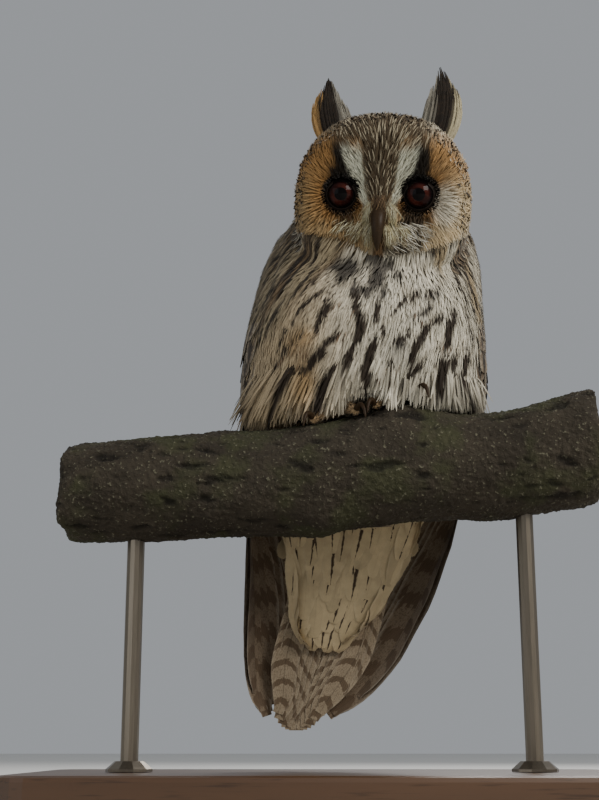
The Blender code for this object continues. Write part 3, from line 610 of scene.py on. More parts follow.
# %% Node helpers
def new_tree(name, roughness):
    """A material with its node tree and shader."""
    material = bpy.data.materials.new(name)
    material.use_nodes = True
    shader = material.node_tree.nodes["Principled BSDF"]
    shader.inputs["Roughness"].default_value = roughness
    return material, material.node_tree, shader


def feed(tree, socket, value):
    """Give a socket a number, a colour or another node's output."""
    if isinstance(value, bpy.types.NodeSocket):
        tree.links.new(value, socket)
    else:
        socket.default_value = value


def calc(tree, operation, first, second=0.0, clamp=False):
    """One sum of a shader."""
    node = tree.nodes.new("ShaderNodeMath")
    node.operation = operation
    node.use_clamp = clamp
    feed(tree, node.inputs[0], first)
    feed(tree, node.inputs[1], second)
    return node.outputs[0]


def step_between(tree, value, start, end):
    """A smooth step from 0 at start to 1 at end."""
    node = tree.nodes.new("ShaderNodeMapRange")
    node.interpolation_type = "SMOOTHSTEP"
    feed(tree, node.inputs["Value"], value)
    feed(tree, node.inputs["From Min"], start)
    feed(tree, node.inputs["From Max"], end)
    return node.outputs["Result"]


def blend(tree, share, first, second, kind="MIX"):
    """Mix two colours in a shader."""
    node = tree.nodes.new("ShaderNodeMix")
    node.data_type = "RGBA"
    node.blend_type = kind
    feed(tree, node.inputs["Factor"], share)
    feed(tree, node.inputs["A"], first)
    feed(tree, node.inputs["B"], second)
    return node.outputs["Result"]


def noise(tree, scale, detail=2.0, stretch=(1, 1, 1)):
    """Noise in the model's own space, with cells of about 1 / scale metres."""
    place = tree.nodes.new("ShaderNodeTexCoord")
    mapping = tree.nodes.new("ShaderNodeMapping")
    mapping.inputs["Scale"].default_value = stretch
    node = tree.nodes.new("ShaderNodeTexNoise")
    node.inputs["Scale"].default_value = scale
    node.inputs["Detail"].default_value = detail
    tree.links.new(place.outputs["Object"], mapping.inputs["Vector"])
    tree.links.new(mapping.outputs["Vector"], node.inputs["Vector"])
    return node.outputs["Fac"]


def attribute(tree, name):
    """A value that the mesh carries."""
    node = tree.nodes.new("ShaderNodeAttribute")
    node.attribute_name = name
    return node


def split(tree, vector):
    """The three numbers of a vector."""
    node = tree.nodes.new("ShaderNodeSeparateXYZ")
    tree.links.new(vector, node.inputs[0])
    return node.outputs


def bumped(tree, shader, height, strength, distance):
    """Raise the surface in the shading by a height."""
    node = tree.nodes.new("ShaderNodeBump")
    node.inputs["Strength"].default_value = strength
    node.inputs["Distance"].default_value = distance
    tree.links.new(height, node.inputs["Height"])
    tree.links.new(node.outputs["Normal"], shader.inputs["Normal"])

# %% The material of the feathers
vane_material, tree, shader = new_tree("feather_vane", 0.78)
vane_map = tree.nodes.new("ShaderNodeUVMap")
vane_map.uv_map = "vane"
place = split(tree, vane_map.outputs["UV"])
across = calc(tree, "ABSOLUTE", calc(tree, "SUBTRACT", calc(tree, "MULTIPLY", place[0], 2.0), 1.0))
along = place[1]
ground = attribute(tree, "ground")
mark = attribute(tree, "mark")
pattern = split(tree, attribute(tree, "pattern").outputs["Vector"])
feather = split(tree, attribute(tree, "feather").outputs["Vector"])
ragged = calc(tree, "SUBTRACT", noise(tree, 420.0), 0.5)
edge = calc(tree, "ADD", across, calc(tree, "MULTIPLY", ragged, 0.26))
off_middle = calc(tree, "MULTIPLY", calc(tree, "SUBTRACT", along, 0.66), 2.6)
taper = calc(tree, "SUBTRACT", 1.1, calc(tree, "MULTIPLY", off_middle, off_middle))
width = calc(tree, "MULTIPLY", pattern[0], taper)
streak = step_between(
    tree, edge, calc(tree, "MULTIPLY", width, 1.5), calc(tree, "MULTIPLY", width, 0.6)
)
streak = calc(tree, "MULTIPLY", streak, step_between(tree, width, 0.0, 0.04))
phase = calc(tree, "MULTIPLY", along, calc(tree, "MULTIPLY", feather[0], 2 * math.pi))
phase = calc(tree, "ADD", phase, calc(tree, "MULTIPLY", calc(tree, "MULTIPLY", across, across), -2.2))
phase = calc(tree, "ADD", phase, calc(tree, "MULTIPLY", ragged, 2.2))
phase = calc(tree, "ADD", phase, feather[1])
wave = calc(tree, "SINE", phase)
bars = step_between(tree, wave, mark.outputs["Alpha"], calc(tree, "ADD", mark.outputs["Alpha"], 0.3))
bars = calc(tree, "MULTIPLY", bars, pattern[1])
speckle = step_between(tree, noise(tree, 900.0, 3.0), 0.50, 0.62)
speckle = calc(tree, "MULTIPLY", speckle, pattern[2])
bar_colour = blend(tree, 0.3, mark.outputs["Color"], (0.20, 0.11, 0.05, 1.0))
colour = blend(tree, calc(tree, "MAXIMUM", bars, speckle, clamp=True), ground.outputs["Color"], bar_colour)
colour = blend(tree, streak, colour, mark.outputs["Color"])
fringe = calc(tree, "MULTIPLY", step_between(tree, edge, 0.72, 0.98), ground.outputs["Alpha"])
pale_edge = blend(tree, 0.55, ground.outputs["Color"], (0.72, 0.66, 0.53, 1.0))
colour = blend(tree, fringe, colour, pale_edge)
barbs = calc(tree, "ADD", calc(tree, "MULTIPLY", along, 210.0), calc(tree, "MULTIPLY", across, -38.0))
barbs = calc(tree, "ADD", barbs, calc(tree, "MULTIPLY", ragged, 9.0))
barbs = calc(tree, "MULTIPLY", calc(tree, "ADD", calc(tree, "SINE", barbs), 1.0), 0.5)
quill = calc(tree, "MULTIPLY", step_between(tree, across, 0.05, 0.015), feather[2])
colour = blend(tree, calc(tree, "MULTIPLY", barbs, 0.14), colour, (0.0, 0.0, 0.0, 1.0))
soft_tone = step_between(tree, noise(tree, 160.0, 3.0), 0.3, 0.7)
colour = blend(tree, calc(tree, "MULTIPLY", soft_tone, 0.16), colour, (0.05, 0.035, 0.02, 1.0))
colour = blend(tree, calc(tree, "MULTIPLY", quill, 0.5), colour, (0.05, 0.035, 0.022, 1.0))
tree.links.new(colour, shader.inputs["Base Color"])
bumped(tree, shader, barbs, 0.22, 0.0003)
shader.inputs["Specular IOR Level"].default_value = 0.2
shader.inputs["Sheen Weight"].default_value = 0.10
print("feather material nodes:", len(tree.nodes))

# %% [markdown]
# The finest plumes, on the face, the toes and over the breast, are as thin as hairs. They need no
# streak or bars: each runs from its ground colour at the root to its mark colour at the tip.

# %% The material of the fine plumes and of the skin
plume_material, tree, shader = new_tree("fine_plume", 0.8)
vane_map = tree.nodes.new("ShaderNodeUVMap")
vane_map.uv_map = "vane"
place = split(tree, vane_map.outputs["UV"])
ground = attribute(tree, "ground")
mark = attribute(tree, "mark")
to_tip = step_between(tree, place[1], 0.45, 0.95)
colour = blend(tree, to_tip, ground.outputs["Color"], mark.outputs["Color"])
uneven = step_between(tree, noise(tree, 1400.0, 2.0), 0.3, 0.75)
colour = blend(tree, calc(tree, "MULTIPLY", uneven, 0.22), colour, (0.02, 0.015, 0.01, 1.0))
tree.links.new(colour, shader.inputs["Base Color"])
shader.inputs["Specular IOR Level"].default_value = 0.2
shader.inputs["Sheen Weight"].default_value = 0.1

skin_material, tree, shader = new_tree("skin_under_down", 0.9)
ground = attribute(tree, "ground")
down = noise(tree, 700.0, 4.0)
colour = blend(
    tree, calc(tree, "MULTIPLY", step_between(tree, down, 0.35, 0.7), 0.45),
    ground.outputs["Color"], (0.03, 0.022, 0.016, 1.0),
)
tree.links.new(colour, shader.inputs["Base Color"])
bumped(tree, shader, down, 0.6, 0.0008)
shader.inputs["Specular IOR Level"].default_value = 0.15
print("materials:", vane_material.name, plume_material.name, skin_material.name)

# %% [markdown]
# ## The skin
# One skin lies under the coat with no seam. It starts from the coat's surface and sinks in small
# steps, each followed by some smoothing, because one long step would fold it over itself where the
# legs meet the belly. On the toes it hardly sinks at all.

# %% Skin
SINK_STEPS = 6
skin_points = coat.points.copy()
skin_mesh = coat_mesh.copy()
skin_mesh.name = "skin"
softness = np.clip(coat_depth / (6 * MM), 0.0, 1.0)[:, None]
edge_ends = coat.edges
touching = np.bincount(edge_ends.ravel(), minlength=len(skin_points)).astype(float)[:, None]
for _ in range(SINK_STEPS):
    skin_mesh.vertices.foreach_set("co", skin_points.ravel())
    skin_mesh.update()
    facing = np.empty(len(skin_points) * 3)
    skin_mesh.vertices.foreach_get("normal", facing)
    skin_points = skin_points - facing.reshape(-1, 3) * (coat_depth / SINK_STEPS)[:, None]
    for _ in range(2):
        around = np.zeros_like(skin_points)
        np.add.at(around, edge_ends[:, 0], skin_points[edge_ends[:, 1]])
        np.add.at(around, edge_ends[:, 1], skin_points[edge_ends[:, 0]])
        skin_points += (around / touching - skin_points) * 0.5 * softness
skin_mesh.vertices.foreach_set("co", skin_points.ravel())
skin_mesh.update()
skin = bpy.data.objects.new("skin", skin_mesh)
bpy.context.scene.collection.objects.link(skin)
skin_mesh.shade_smooth()
skin_ground = skin_mesh.attributes.new("ground", "FLOAT_COLOR", "POINT")
shade = coat_colours(coat.points, coat.normals, coat_part) * 0.75
skin_ground.data.foreach_set("color", np.hstack([shade, np.ones((len(shade), 1))]).ravel())
skin.data.materials.append(skin_material)
print("skin points:", len(skin_points))

# %% [markdown]
# ## Scattering roots
# Real feathers grow in even rows. Throwing random points and keeping only those that are far enough
# from every kept one gives the same even spacing on a curved body, without rows that look drawn.

# %% Roots
def scatter(surface, faces, spacing, seed):
    """Evenly spaced random places on some faces of a surface."""
    rng = np.random.default_rng(seed)
    areas = surface.areas[faces]
    count = int(areas.sum() / spacing ** 2 * 5)
    picks = faces[rng.choice(len(faces), size=count, p=areas / areas.sum())]
    first, second = rng.random((2, count))
    folded = first + second > 1
    first[folded] = 1 - first[folded]
    second[folded] = 1 - second[folded]
    corners = surface.points[surface.faces[picks]]
    places = corners[:, 0] + (corners[:, 1] - corners[:, 0]) * first[:, None]
    places = places + (corners[:, 2] - corners[:, 0]) * second[:, None]
    cells = {}
    kept = []
    keys = np.floor(places / spacing).astype(int).tolist()
    for index, (point, key) in enumerate(zip(places.tolist(), keys)):
        near = [
            other
            for dx in (-1, 0, 1) for dy in (-1, 0, 1) for dz in (-1, 0, 1)
            for other in cells.get((key[0] + dx, key[1] + dy, key[2] + dz), ())
        ]
        if all(math.dist(point, other) > spacing for other in near):
            cells.setdefault(tuple(key), []).append(point)
            kept.append(index)
    return places[kept]


def faces_of(part, test=None):
    """Faces of the coat on one part of the owl, and where a test of their middles holds."""
    wanted = coat_part[coat.faces[:, 0]] == part_names.index(part)
    if test is not None:
        middles = coat.points[coat.faces].mean(axis=1)
        wanted &= test(middles, unit(coat.face_normals))
    return np.flatnonzero(wanted)


print("faces on the facial disc:", len(faces_of("face")))

# %% [markdown]
# ## Growing feathers
# A feather's template is a flat grid, a few cells across and several along. Its shaft runs from the
# root over the surface and turns with the lie of the coat. Each row of the grid is then placed
# across the shaft: narrow at the quill, widest beyond the middle, rounded at the tip, a little
# arched, with uneven edges. All the feathers of one tract are worked out together as arrays and
# become a single mesh.

# %% Templates and shafts
def closing_rows(bm):
    """Move the rows of a flat grid closer together towards its far end, at y = 1."""
    for vert in bm.verts:
        vert.co.y = 1 - 2 * ((1 - vert.co.y) / 2) ** 1.35


def numbers_of(bm):
    """The points and the faces of a bmesh as arrays."""
    bm.verts.index_update()
    points = np.array([vert.co[:] for vert in bm.verts])
    faces = np.array([[vert.index for vert in face.verts] for face in bm.faces])
    bm.free()
    return points, faces


def vane_template(columns, rows, barbs=0, barb_length=0.22):
    """A flat vane with loose barbs along its free edge: one row of numbers for each point.

    The numbers are the place across and along the vane, the step away from that place sideways
    and forwards in half widths, and the place on the bake map's patch.
    """
    grid = bmesh.new()
    bmesh.ops.create_grid(grid, x_segments=columns, y_segments=rows, size=1.0)
    closing_rows(grid)
    points, faces = numbers_of(grid)
    across, along = points[:, 0], (points[:, 1] + 1) / 2
    share = 0.78 if barbs else 1.0
    still = np.zeros(len(across))
    parts = [np.stack([across, along, still, still, (across + 1) / 2, along * share], axis=1)]
    face_parts = [faces]
    start = len(across)
    for index in range(barbs):
        barb = bmesh.new()
        bmesh.ops.create_grid(barb, x_segments=1, y_segments=1, size=0.5)
        for vert in barb.verts:
            vert.co.x *= 0.26 if vert.co.y > 0 else 1.0
        points, faces = numbers_of(barb)
        turn = 2 * (index + 0.5) / barbs - 1
        side = math.copysign(1.0, turn)
        round_tip = abs(turn) < 0.42
        at_across = turn / 0.42 * 0.9 if round_tip else side * 0.97
        at_along = 0.975 if round_tip else 0.975 - 0.58 * (abs(turn) - 0.42) / 0.58
        lean = turn * (0.9 if round_tip else 0.75) + 0.25 * math.sin(index * 2.4)
        length = barb_length * (0.75 + 0.35 * math.sin(index * 1.9))
        wide = points[:, 0] * 0.055
        forward = (points[:, 1] + 0.15) * length
        sideways = wide * math.cos(lean) + forward * math.sin(lean)
        forwards = forward * math.cos(lean) - wide * math.sin(lean)
        flat = np.full(len(points), 1.0)
        cell = (index + 0.5) / barbs + points[:, 0] * 0.8 / barbs
        parts.append(np.stack(
            [flat * at_across, flat * at_along, sideways, forwards, cell, 0.9 + points[:, 1] * 0.16], axis=1,
        ))
        face_parts.append(faces + start)
        start += len(points)
    return np.concatenate(parts), np.concatenate(face_parts)


def tangent(directions, normals):
    """Directions pressed flat onto the surface."""
    flat = directions - normals * (directions * normals).sum(axis=1, keepdims=True)
    return unit(flat)


def lay_shafts(surface, roots, way, lengths, rows, sway):
    """Run each shaft over the surface from its root, turning with the lie of the coat.

    Where the surface turns away sharply, a stiff shaft doesn't follow it but goes nearly straight on.
    """
    places, normals, _ = surface.nearest(roots)
    heading = tangent(way(places) + sway, normals)
    path = [places]
    ups = [normals]
    for _ in range(rows):
        reached = places + heading * (lengths / rows)[:, None]
        near, facing, _ = surface.nearest(reached)
        hold = 0.18 + 0.82 * fade(0.80, 0.97, (facing * normals).sum(axis=1))[:, None]
        places = reached + (near - reached) * hold
        normals = unit(normals + (facing - normals) * hold)
        path.append(places)
        ups.append(normals)
        heading = unit(heading + 0.6 * tangent(way(places) + sway, normals) * hold)
        heading = tangent(heading, normals)
    return np.stack(path, axis=1), np.stack(ups, axis=1)


def shortened(path, ups, keep):
    """The same shafts cut to a share of their length, with as many points as before."""
    rows = path.shape[1] - 1
    position = np.arange(rows + 1)[None] * keep[:, None]
    low = np.minimum(position.astype(int), rows - 1)
    part = (position - low)[..., None]
    pick = np.arange(len(path))[:, None]
    new_path = path[pick, low] * (1 - part) + path[pick, low + 1] * part
    new_ups = ups[pick, low] * (1 - part) + ups[pick, low + 1] * part
    return new_path, unit(new_ups)


def outline_of(share, roundness):
    """Half width along a feather, as a share of its widest."""
    swell = 0.14 + 0.86 * np.minimum(1, share / 0.5) ** 0.8
    return swell * np.sqrt(1 - np.minimum(share, 0.985) ** roundness)

# %% Vanes
STYLE = {
    "depth": 0.0, "layer": 1.0, "lift": 0.0, "camber": 0.18, "sweep": 0.5, "fray": 0.12,
    "roundness": 6.0, "jitter": 0.25, "ripple": 0.0, "roll": 0.0, "base": 0.0,
}


def grow(path, ups, half_widths, template, style, seed):
    """Points of every feather, from its shaft, its width and the template."""
    rng = np.random.default_rng(seed)
    look = {**STYLE, **style}
    across, share, sideways, forwards = template[0][:, :4].T
    rows = path.shape[1] - 1
    count = len(path)
    low = np.minimum((share * rows).astype(int), rows - 1)
    part = (share * rows - low)[None, :, None]
    along = unit(np.gradient(path, axis=1))
    side = unit(np.cross(along, ups))
    ups = np.cross(side, along)

    def between_rows(values):
        """Values for each row of the shaft, read where each point of the template is."""
        return values[:, low] * (1 - part) + values[:, low + 1] * part

    along, side, ups = between_rows(along), between_rows(side), between_rows(ups)
    edge = np.abs(across)
    worn = 1 - look["fray"] * rng.random((count, len(across))) * (edge > 0.99)
    reach = half_widths[:, None] * (outline_of(share, look["roundness"]) * across * worn + sideways)
    sunk = -look["depth"] * (1 - np.minimum(1, share / 0.45)) ** 1.5
    rise = sunk + (look["base"] + look["layer"] * (share - 0.5) + look["lift"] * share ** 2) * MM
    offset = look["jitter"] * rng.standard_normal(count) * MM
    arch = look["camber"] * half_widths[:, None] * across ** 2 * outline_of(share, look["roundness"])
    wave = look["ripple"] * rng.standard_normal((count, len(across))) * MM * share * (edge < 0.96)
    turn = look["roll"] * rng.standard_normal(count)
    height = rise + offset[:, None] * share - arch + wave + turn[:, None] * reach
    forward = look["sweep"] * edge ** 1.5 * (1 - share) * share * 2 + forwards
    points = between_rows(path) + side * reach[..., None] + ups * height[..., None]
    return points + along * (half_widths[:, None] * forward)[..., None]

# %% [markdown]
# The map that the colours are baked to has a patch for every feather. The patches follow an unwrap
# of the body like a rolled-out label: turns round the body run across the map and height runs up
# it. Ranking the roots first keeps every patch apart from its neighbours.

# %% Patches of the bake map and the mesh of a tract
BODY_AXIS = np.array((0.022, 0.012))
LARGEST_PATCH = 0.06


def bake_patches(roots, largest):
    """Lower left corner and size of each feather's own patch on the unwrapped body."""
    count = len(roots)
    side = math.ceil(math.sqrt(count))
    turn = np.arctan2(roots[:, 0] - BODY_AXIS[0], BODY_AXIS[1] - roots[:, 1])
    by_height = np.argsort(roots[:, 2], kind="stable")
    corner = np.zeros((count, 2))
    for row in range(side):
        members = by_height[row * side:(row + 1) * side]
        members = members[np.argsort(turn[members], kind="stable")]
        corner[members, 0] = (np.arange(len(members)) + 0.5) / side
        corner[members, 1] = (row + 0.5) / side
    size = min(0.8 / side, largest)
    return corner - size / 2, size


class Tract:
    """Feathers that grow together and become one mesh."""

    def __init__(self):
        self.batches = []

    def add(self, points, roots, template, ground, mark, pattern=None, feather=None):
        """Add feathers with their colours and marks, one row of values for each feather."""
        plain = rows_of(len(roots), 0, 0, 0)
        pattern = plain if pattern is None else pattern
        feather = plain if feather is None else feather
        self.batches.append((points, roots, template, ground, mark, pattern, feather))

    def finish(self, name, material, slot, replaced=(), largest=LARGEST_PATCH, soften=0.0):
        """Join all the feathers into one object, shaded partly like the coat under them."""
        roots = np.concatenate([batch[1] for batch in self.batches])
        corners, size = bake_patches(roots, largest)
        points, faces, vane, bake = [], [], [], []
        values = {"ground": [], "mark": [], "pattern": [], "feather": []}
        start = 0
        first = 0
        for batch in self.batches:
            own, own_roots, (template, template_faces) = batch[:3]
            count, per = own.shape[:2]
            own_map = template[:, :2] * (0.5, 1.0) + (0.5, 0.0)
            points.append(own.reshape(-1, 3))
            numbers = np.arange(count)[:, None, None] * per + template_faces[None] + start
            faces.append(numbers.reshape(-1, 4))
            vane.append(np.broadcast_to(own_map, (count, per, 2)).reshape(-1, 2))
            patch = corners[first:first + count][:, None] + template[None, :, 4:] * size
            bake.append(patch.reshape(-1, 2))
            for key, value in zip(values, batch[3:]):
                if value.ndim == 2:
                    value = np.repeat(value[:, None], per, axis=1)
                values[key].append(value.reshape(count * per, -1))
            start += count * per
            first += count
        mesh = bpy.data.meshes.new(name)
        points = np.concatenate(points)
        faces = np.concatenate(faces)
        mesh.vertices.add(len(points))
        mesh.vertices.foreach_set("co", points.ravel())
        mesh.loops.add(faces.size)
        mesh.loops.foreach_set("vertex_index", faces.ravel())
        mesh.polygons.add(len(faces))
        mesh.polygons.foreach_set("loop_start", np.arange(0, faces.size, 4))
        mesh.update(calc_edges=True)
        for map_name, coordinates in (("vane", vane), ("OFBake", bake)):
            layer = mesh.uv_layers.new(name=map_name)
            layer.data.foreach_set("uv", np.concatenate(coordinates)[faces.ravel()].ravel())
        for key in ("ground", "mark"):
            stored = mesh.attributes.new(key, "FLOAT_COLOR", "POINT")
            stored.data.foreach_set("color", np.concatenate(values[key]).ravel())
        for key in ("pattern", "feather"):
            stored = mesh.attributes.new(key, "FLOAT_VECTOR", "POINT")
            stored.data.foreach_set("vector", np.concatenate(values[key]).ravel())
        mesh.shade_smooth()
        if soften:
            _, facing, _ = coat.nearest(points)
            own = np.empty(len(points) * 3)
            mesh.vertices.foreach_get("normal", own)
            shading = unit(facing * soften + own.reshape(-1, 3) * (1 - soften))
            mesh.normals_split_custom_set_from_vertices(shading.tolist())
        mesh.materials.append(material)
        thing = bpy.data.objects.new(name, mesh)
        bpy.context.scene.collection.objects.link(thing)
        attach(thing, "root")
        if replaced:
            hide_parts(*replaced)
        print(name, "feathers:", len(roots), "triangles:", 2 * len(faces))
        return thing


def with_alpha(colours, alpha):
    """Colours with a fourth value."""
    alpha = np.broadcast_to(alpha, colours.shape[:-1])
    return np.concatenate([colours, alpha[..., None]], axis=-1)


def rows_of(count, *values):
    """One row of numbers for each feather, from single numbers or lists of them."""
    return np.stack([np.broadcast_to(np.asarray(value, dtype=float), count) for value in values], axis=1)


def same(colour, count):
    """One colour for every feather."""
    return np.tile(colour, (count, 1))

# %% [markdown]
# ## The facial disc
# The disc is made of fine, loose plumes that spread like rays from each eye. Between the eyes they
# run up from the bill instead, and round the bill they are bristles that point down and forwards
# over it. Each plume here is a strand less than a millimetre wide.

# %% The lie of the face
def face_way(points):
    """Direction of the plumes on the face."""
    head = to_head(points)
    x, z = head[:, 0], head[:, 2]
    side = np.where(x < 0, -1.0, 1.0)
    out = np.abs(x)
    ray = np.stack([out - EYE_X, z - EYE_Z], axis=1)
    ray = ray / np.maximum(np.linalg.norm(ray, axis=1, keepdims=True), 1.0)
    outer = np.interp(z, STREAK_Z, STREAK_OUTER)
    between = fade(outer + 3, outer - 1, out) * fade(-8, -2, z)
    upward = np.stack([0.10 + 0.030 * out, np.ones(len(out))], axis=1)
    way = ray * (1 - between[:, None]) + upward * between[:, None]
    by_bill = fade(13, 7, out) * fade(-3, -9, z)
    downward = np.stack([0.15 + 0.02 * out, -np.ones(len(out))], axis=1)
    way = way * (1 - by_bill[:, None]) + downward * by_bill[:, None]
    crown = fade(30, 40, z)
    flat = np.stack([way[:, 0] * side, 0.6 * crown, way[:, 1]], axis=1)
    return flat @ head_axes.T

# %% Plumes of the disc
def tinted(colours, seed, spread):
    """The same colours, each a little lighter or darker."""
    rng = np.random.default_rng(seed)
    return colours * np.exp(spread * rng.standard_normal(len(colours)))[:, None]


def rim_gap(head):
    """How far a place is above the disc's lower rim, in millimetres."""
    return head[..., 2] - np.interp(head[..., 0], RIM_X, RIM_Z)


STRAND = vane_template(1, 4)
disc = Tract()
disc_rng = np.random.default_rng(12)
disc_roots = scatter(coat, faces_of("face"), 0.92 * MM, 11)
head_roots = to_head(disc_roots)
from_eye = np.hypot(np.abs(head_roots[:, 0]) - EYE_X, head_roots[:, 2] - EYE_Z)
kept = (from_eye > 9.2) & (rim_gap(head_roots) > 0.5)
disc_roots, head_roots, from_eye = disc_roots[kept], head_roots[kept], from_eye[kept]
disc_count = len(disc_roots)
between_eyes = fade(24, 14, np.abs(head_roots[:, 0])) * fade(-14, -4, head_roots[:, 2])
disc_length = 2.6 + 4.4 * fade(9.5, 15, from_eye) + 4.0 * fade(14, 30, from_eye) - 1.5 * between_eyes
disc_length *= disc_rng.uniform(0.8, 1.25, disc_count) * MM
disc_sway = disc_rng.standard_normal((disc_count, 3)) * 0.16
disc_path, disc_ups = lay_shafts(coat, disc_roots, face_way, disc_length, 6, disc_sway)
above_rim = rim_gap(to_head(disc_path)) > -1.2 + 1.4 * disc_rng.random((disc_count, 1))
whole_rows = np.where(above_rim.all(axis=1), 6, np.argmin(above_rim, axis=1))
disc_path, disc_ups = shortened(disc_path, disc_ups, np.maximum(whole_rows / 6, 0.3))
disc_points = grow(
    disc_path, disc_ups, disc_rng.uniform(0.28, 0.5, disc_count) * MM, STRAND,
    {"depth": 2.4 * MM, "layer": 1.1, "lift": 0.6, "roundness": 2.0, "jitter": 0.45}, 13,
)
disc_root_colour = tinted(face_colours(disc_path[:, 1]), 14, 0.17)
disc_colour = tinted(face_colours(disc_path[:, 4]), 14, 0.17)
disc_head = to_head(disc_path[:, 3])
in_wedge = fade(27, 35, disc_head[:, 2]) * fade(36, 22, np.abs(disc_head[:, 0]))
inner_edge = np.interp(disc_head[:, 2], STREAK_Z, STREAK_INNER)
in_wedge = np.maximum(in_wedge, (np.abs(disc_head[:, 0]) < inner_edge) * fade(-4, 1, disc_head[:, 2]))
speckled = disc_rng.random(disc_count) < 0.24 * in_wedge
disc_colour[speckled] = np.array((0.40, 0.34, 0.23))
disc_root_colour[speckled] = disc_colour[speckled]
disc.add(disc_points, disc_roots, STRAND, with_alpha(disc_root_colour, 0.0), with_alpha(disc_colour, 0.0))

# %% [markdown]
# Behind the disc's rim stands a ruff of short stiff feathers, whitish with black tips. Seen from the
# front it is only a narrow speckled border, but it makes the face stand out from the neck.

# %% Ruff
RUFF_VANE = vane_template(2, 4)


def around_rim(middles, normals):
    """Places on the head close behind the disc's rim."""
    head = to_head(middles)
    clear_of_eye = np.hypot(np.abs(head[:, 0]) - EYE_X, head[:, 2] - EYE_Z) > 17
    return clear_of_eye & (head[:, 1] > -22) & (head[:, 1] < -9) & (rim_gap(head) > 1.5)


def ruff_way(points):
    """The ruff's feathers point outwards from the middle of the face and a little forwards."""
    head = to_head(points)
    out = unit(np.stack([head[:, 0], np.zeros(len(head)), head[:, 2]], axis=1))
    return (out + np.array((0.0, -0.75, 0.0))) @ head_axes.T


ruff_faces = np.concatenate([faces_of("face", around_rim), faces_of("crown", around_rim)])
ruff_roots = scatter(coat, ruff_faces, 1.7 * MM, 15)
ruff_count = len(ruff_roots)
ruff_rng = np.random.default_rng(16)
ruff_path, ruff_ups = lay_shafts(
    coat, ruff_roots, ruff_way, ruff_rng.uniform(5.0, 8.0, ruff_count) * MM, 4,
    ruff_rng.standard_normal((ruff_count, 3)) * 0.2,
)
ruff_points = grow(
    ruff_path, ruff_ups, ruff_rng.uniform(0.7, 1.2, ruff_count) * MM, RUFF_VANE,
    {"depth": 1.5 * MM, "layer": 1.0, "lift": 1.2, "roundness": 3.0, "jitter": 0.4, "fray": 0.3}, 17,
)
ruff_head = to_head(ruff_roots)
ruff_lit = fade(-15, 20, ruff_head[:, 0])
ruff_colour = mix((0.24, 0.21, 0.14), (0.54, 0.51, 0.43), ruff_lit)
ruff_colour = mix(ruff_colour, face_colours(ruff_roots), np.full(ruff_count, 0.55))
ruff_dark = ruff_rng.random(ruff_count) < 0.22 - 0.06 * ruff_lit
ruff_colour[ruff_dark] = np.array((0.045, 0.035, 0.025))
on_top = fade(24, 36, ruff_head[:, 2])
ruff_colour = mix(ruff_colour, tinted(same((0.16, 0.115, 0.07), ruff_count), 18, 0.5), on_top)
ruff_tips = ruff_colour.copy()
ruff_tips[ruff_rng.random(ruff_count) < 0.45] = np.array((0.04, 0.03, 0.022))
disc.add(ruff_points, ruff_roots, RUFF_VANE, with_alpha(ruff_colour, 0.0), with_alpha(ruff_tips, 0.0))
print("ruff feathers:", ruff_count)

# %% [markdown]
# Bristles grow round the bill's root and under the eyes. They leave the skin, arch forwards and
# half bury the bill, so each is a free strand on a bent line, not one that lies on the surface.

# %% Bristles
def bristles(count, low, high, heading, length, colours, seed):
    """Arched strands whose roots are spread between two corners on the face."""
    rng = np.random.default_rng(seed)
    spots = np.stack(
        [rng.uniform(low[0], high[0], count), np.full(count, -60.0), rng.uniform(low[1], high[1], count)],
        axis=1,
    )
    roots, normals, _ = coat.nearest(place_in_head(spots))
    spots = to_head(roots)
    spots[:, 0] = rng.uniform(low[0], high[0], count)
    roots, normals, _ = coat.nearest(place_in_head(spots))
    way = np.array(heading) + 0.28 * rng.standard_normal((count, 3))
    way = tangent(way @ head_axes.T, normals)
    lengths = (length * rng.uniform(0.7, 1.2, count) * MM)[:, None, None]
    share = np.linspace(0, 1, 7)[None, :, None]
    path = roots[:, None] + way[:, None] * lengths * share
    path = path + normals[:, None] * (lengths * 0.24 * np.sin(share * 2.5) + 0.8 * MM)
    ups = np.repeat(normals[:, None], 7, axis=1)
    points = grow(
        path, ups, rng.uniform(0.14, 0.26, count) * MM, STRAND,
        {"layer": 0.0, "roundness": 1.6, "jitter": 0.0, "camber": 0.0}, seed + 1,
    )
    shade = np.array(colours)[rng.integers(0, len(colours), count)]
    shade = tinted(shade, seed + 2, 0.2)
    disc.add(points, roots, STRAND, with_alpha(shade, 0.0), with_alpha(shade * 0.8, 0.0))


OLIVES = ((0.40, 0.35, 0.20), (0.52, 0.49, 0.34), (0.20, 0.15, 0.08))
WHITES = ((0.66, 0.63, 0.54), (0.50, 0.46, 0.36), (0.30, 0.26, 0.18))
for side, pale_share in ((-1, 0.7), (1, 1.0)):
    near, far = sorted((side * 3.0, side * 9.0))
    bristles(110, (near, -21), (far, -4), (side * 0.30, -0.3, -1), 10.5, OLIVES, 210 + side)
    near, far = sorted((side * 9.0, side * 15.0))
    bristles(70, (near, -24), (far, -9), (side * 0.75, -0.3, -0.8), 9.0, OLIVES, 220 + side)
bristles(85, (12, -22), (27, -8), (0.85, -0.3, -0.55), 8.5, WHITES, 231)
bristles(40, (4, -29), (22, -23), (0.95, -0.3, -0.35), 7.5, WHITES, 241)
bristles(45, (-25, -15), (-12, -7), (-0.7, -0.3, -0.7), 7.5, OLIVES, 251)
BROWNS = ((0.09, 0.055, 0.027), (0.15, 0.095, 0.045), (0.06, 0.036, 0.018))
bristles(110, (-3.8, -5), (3.8, 1), (0.0, -0.85, -1), 11.0, BROWNS, 261)
disc.finish("facial_disc_plumes", plume_material, "plumage_face", largest=0.012)

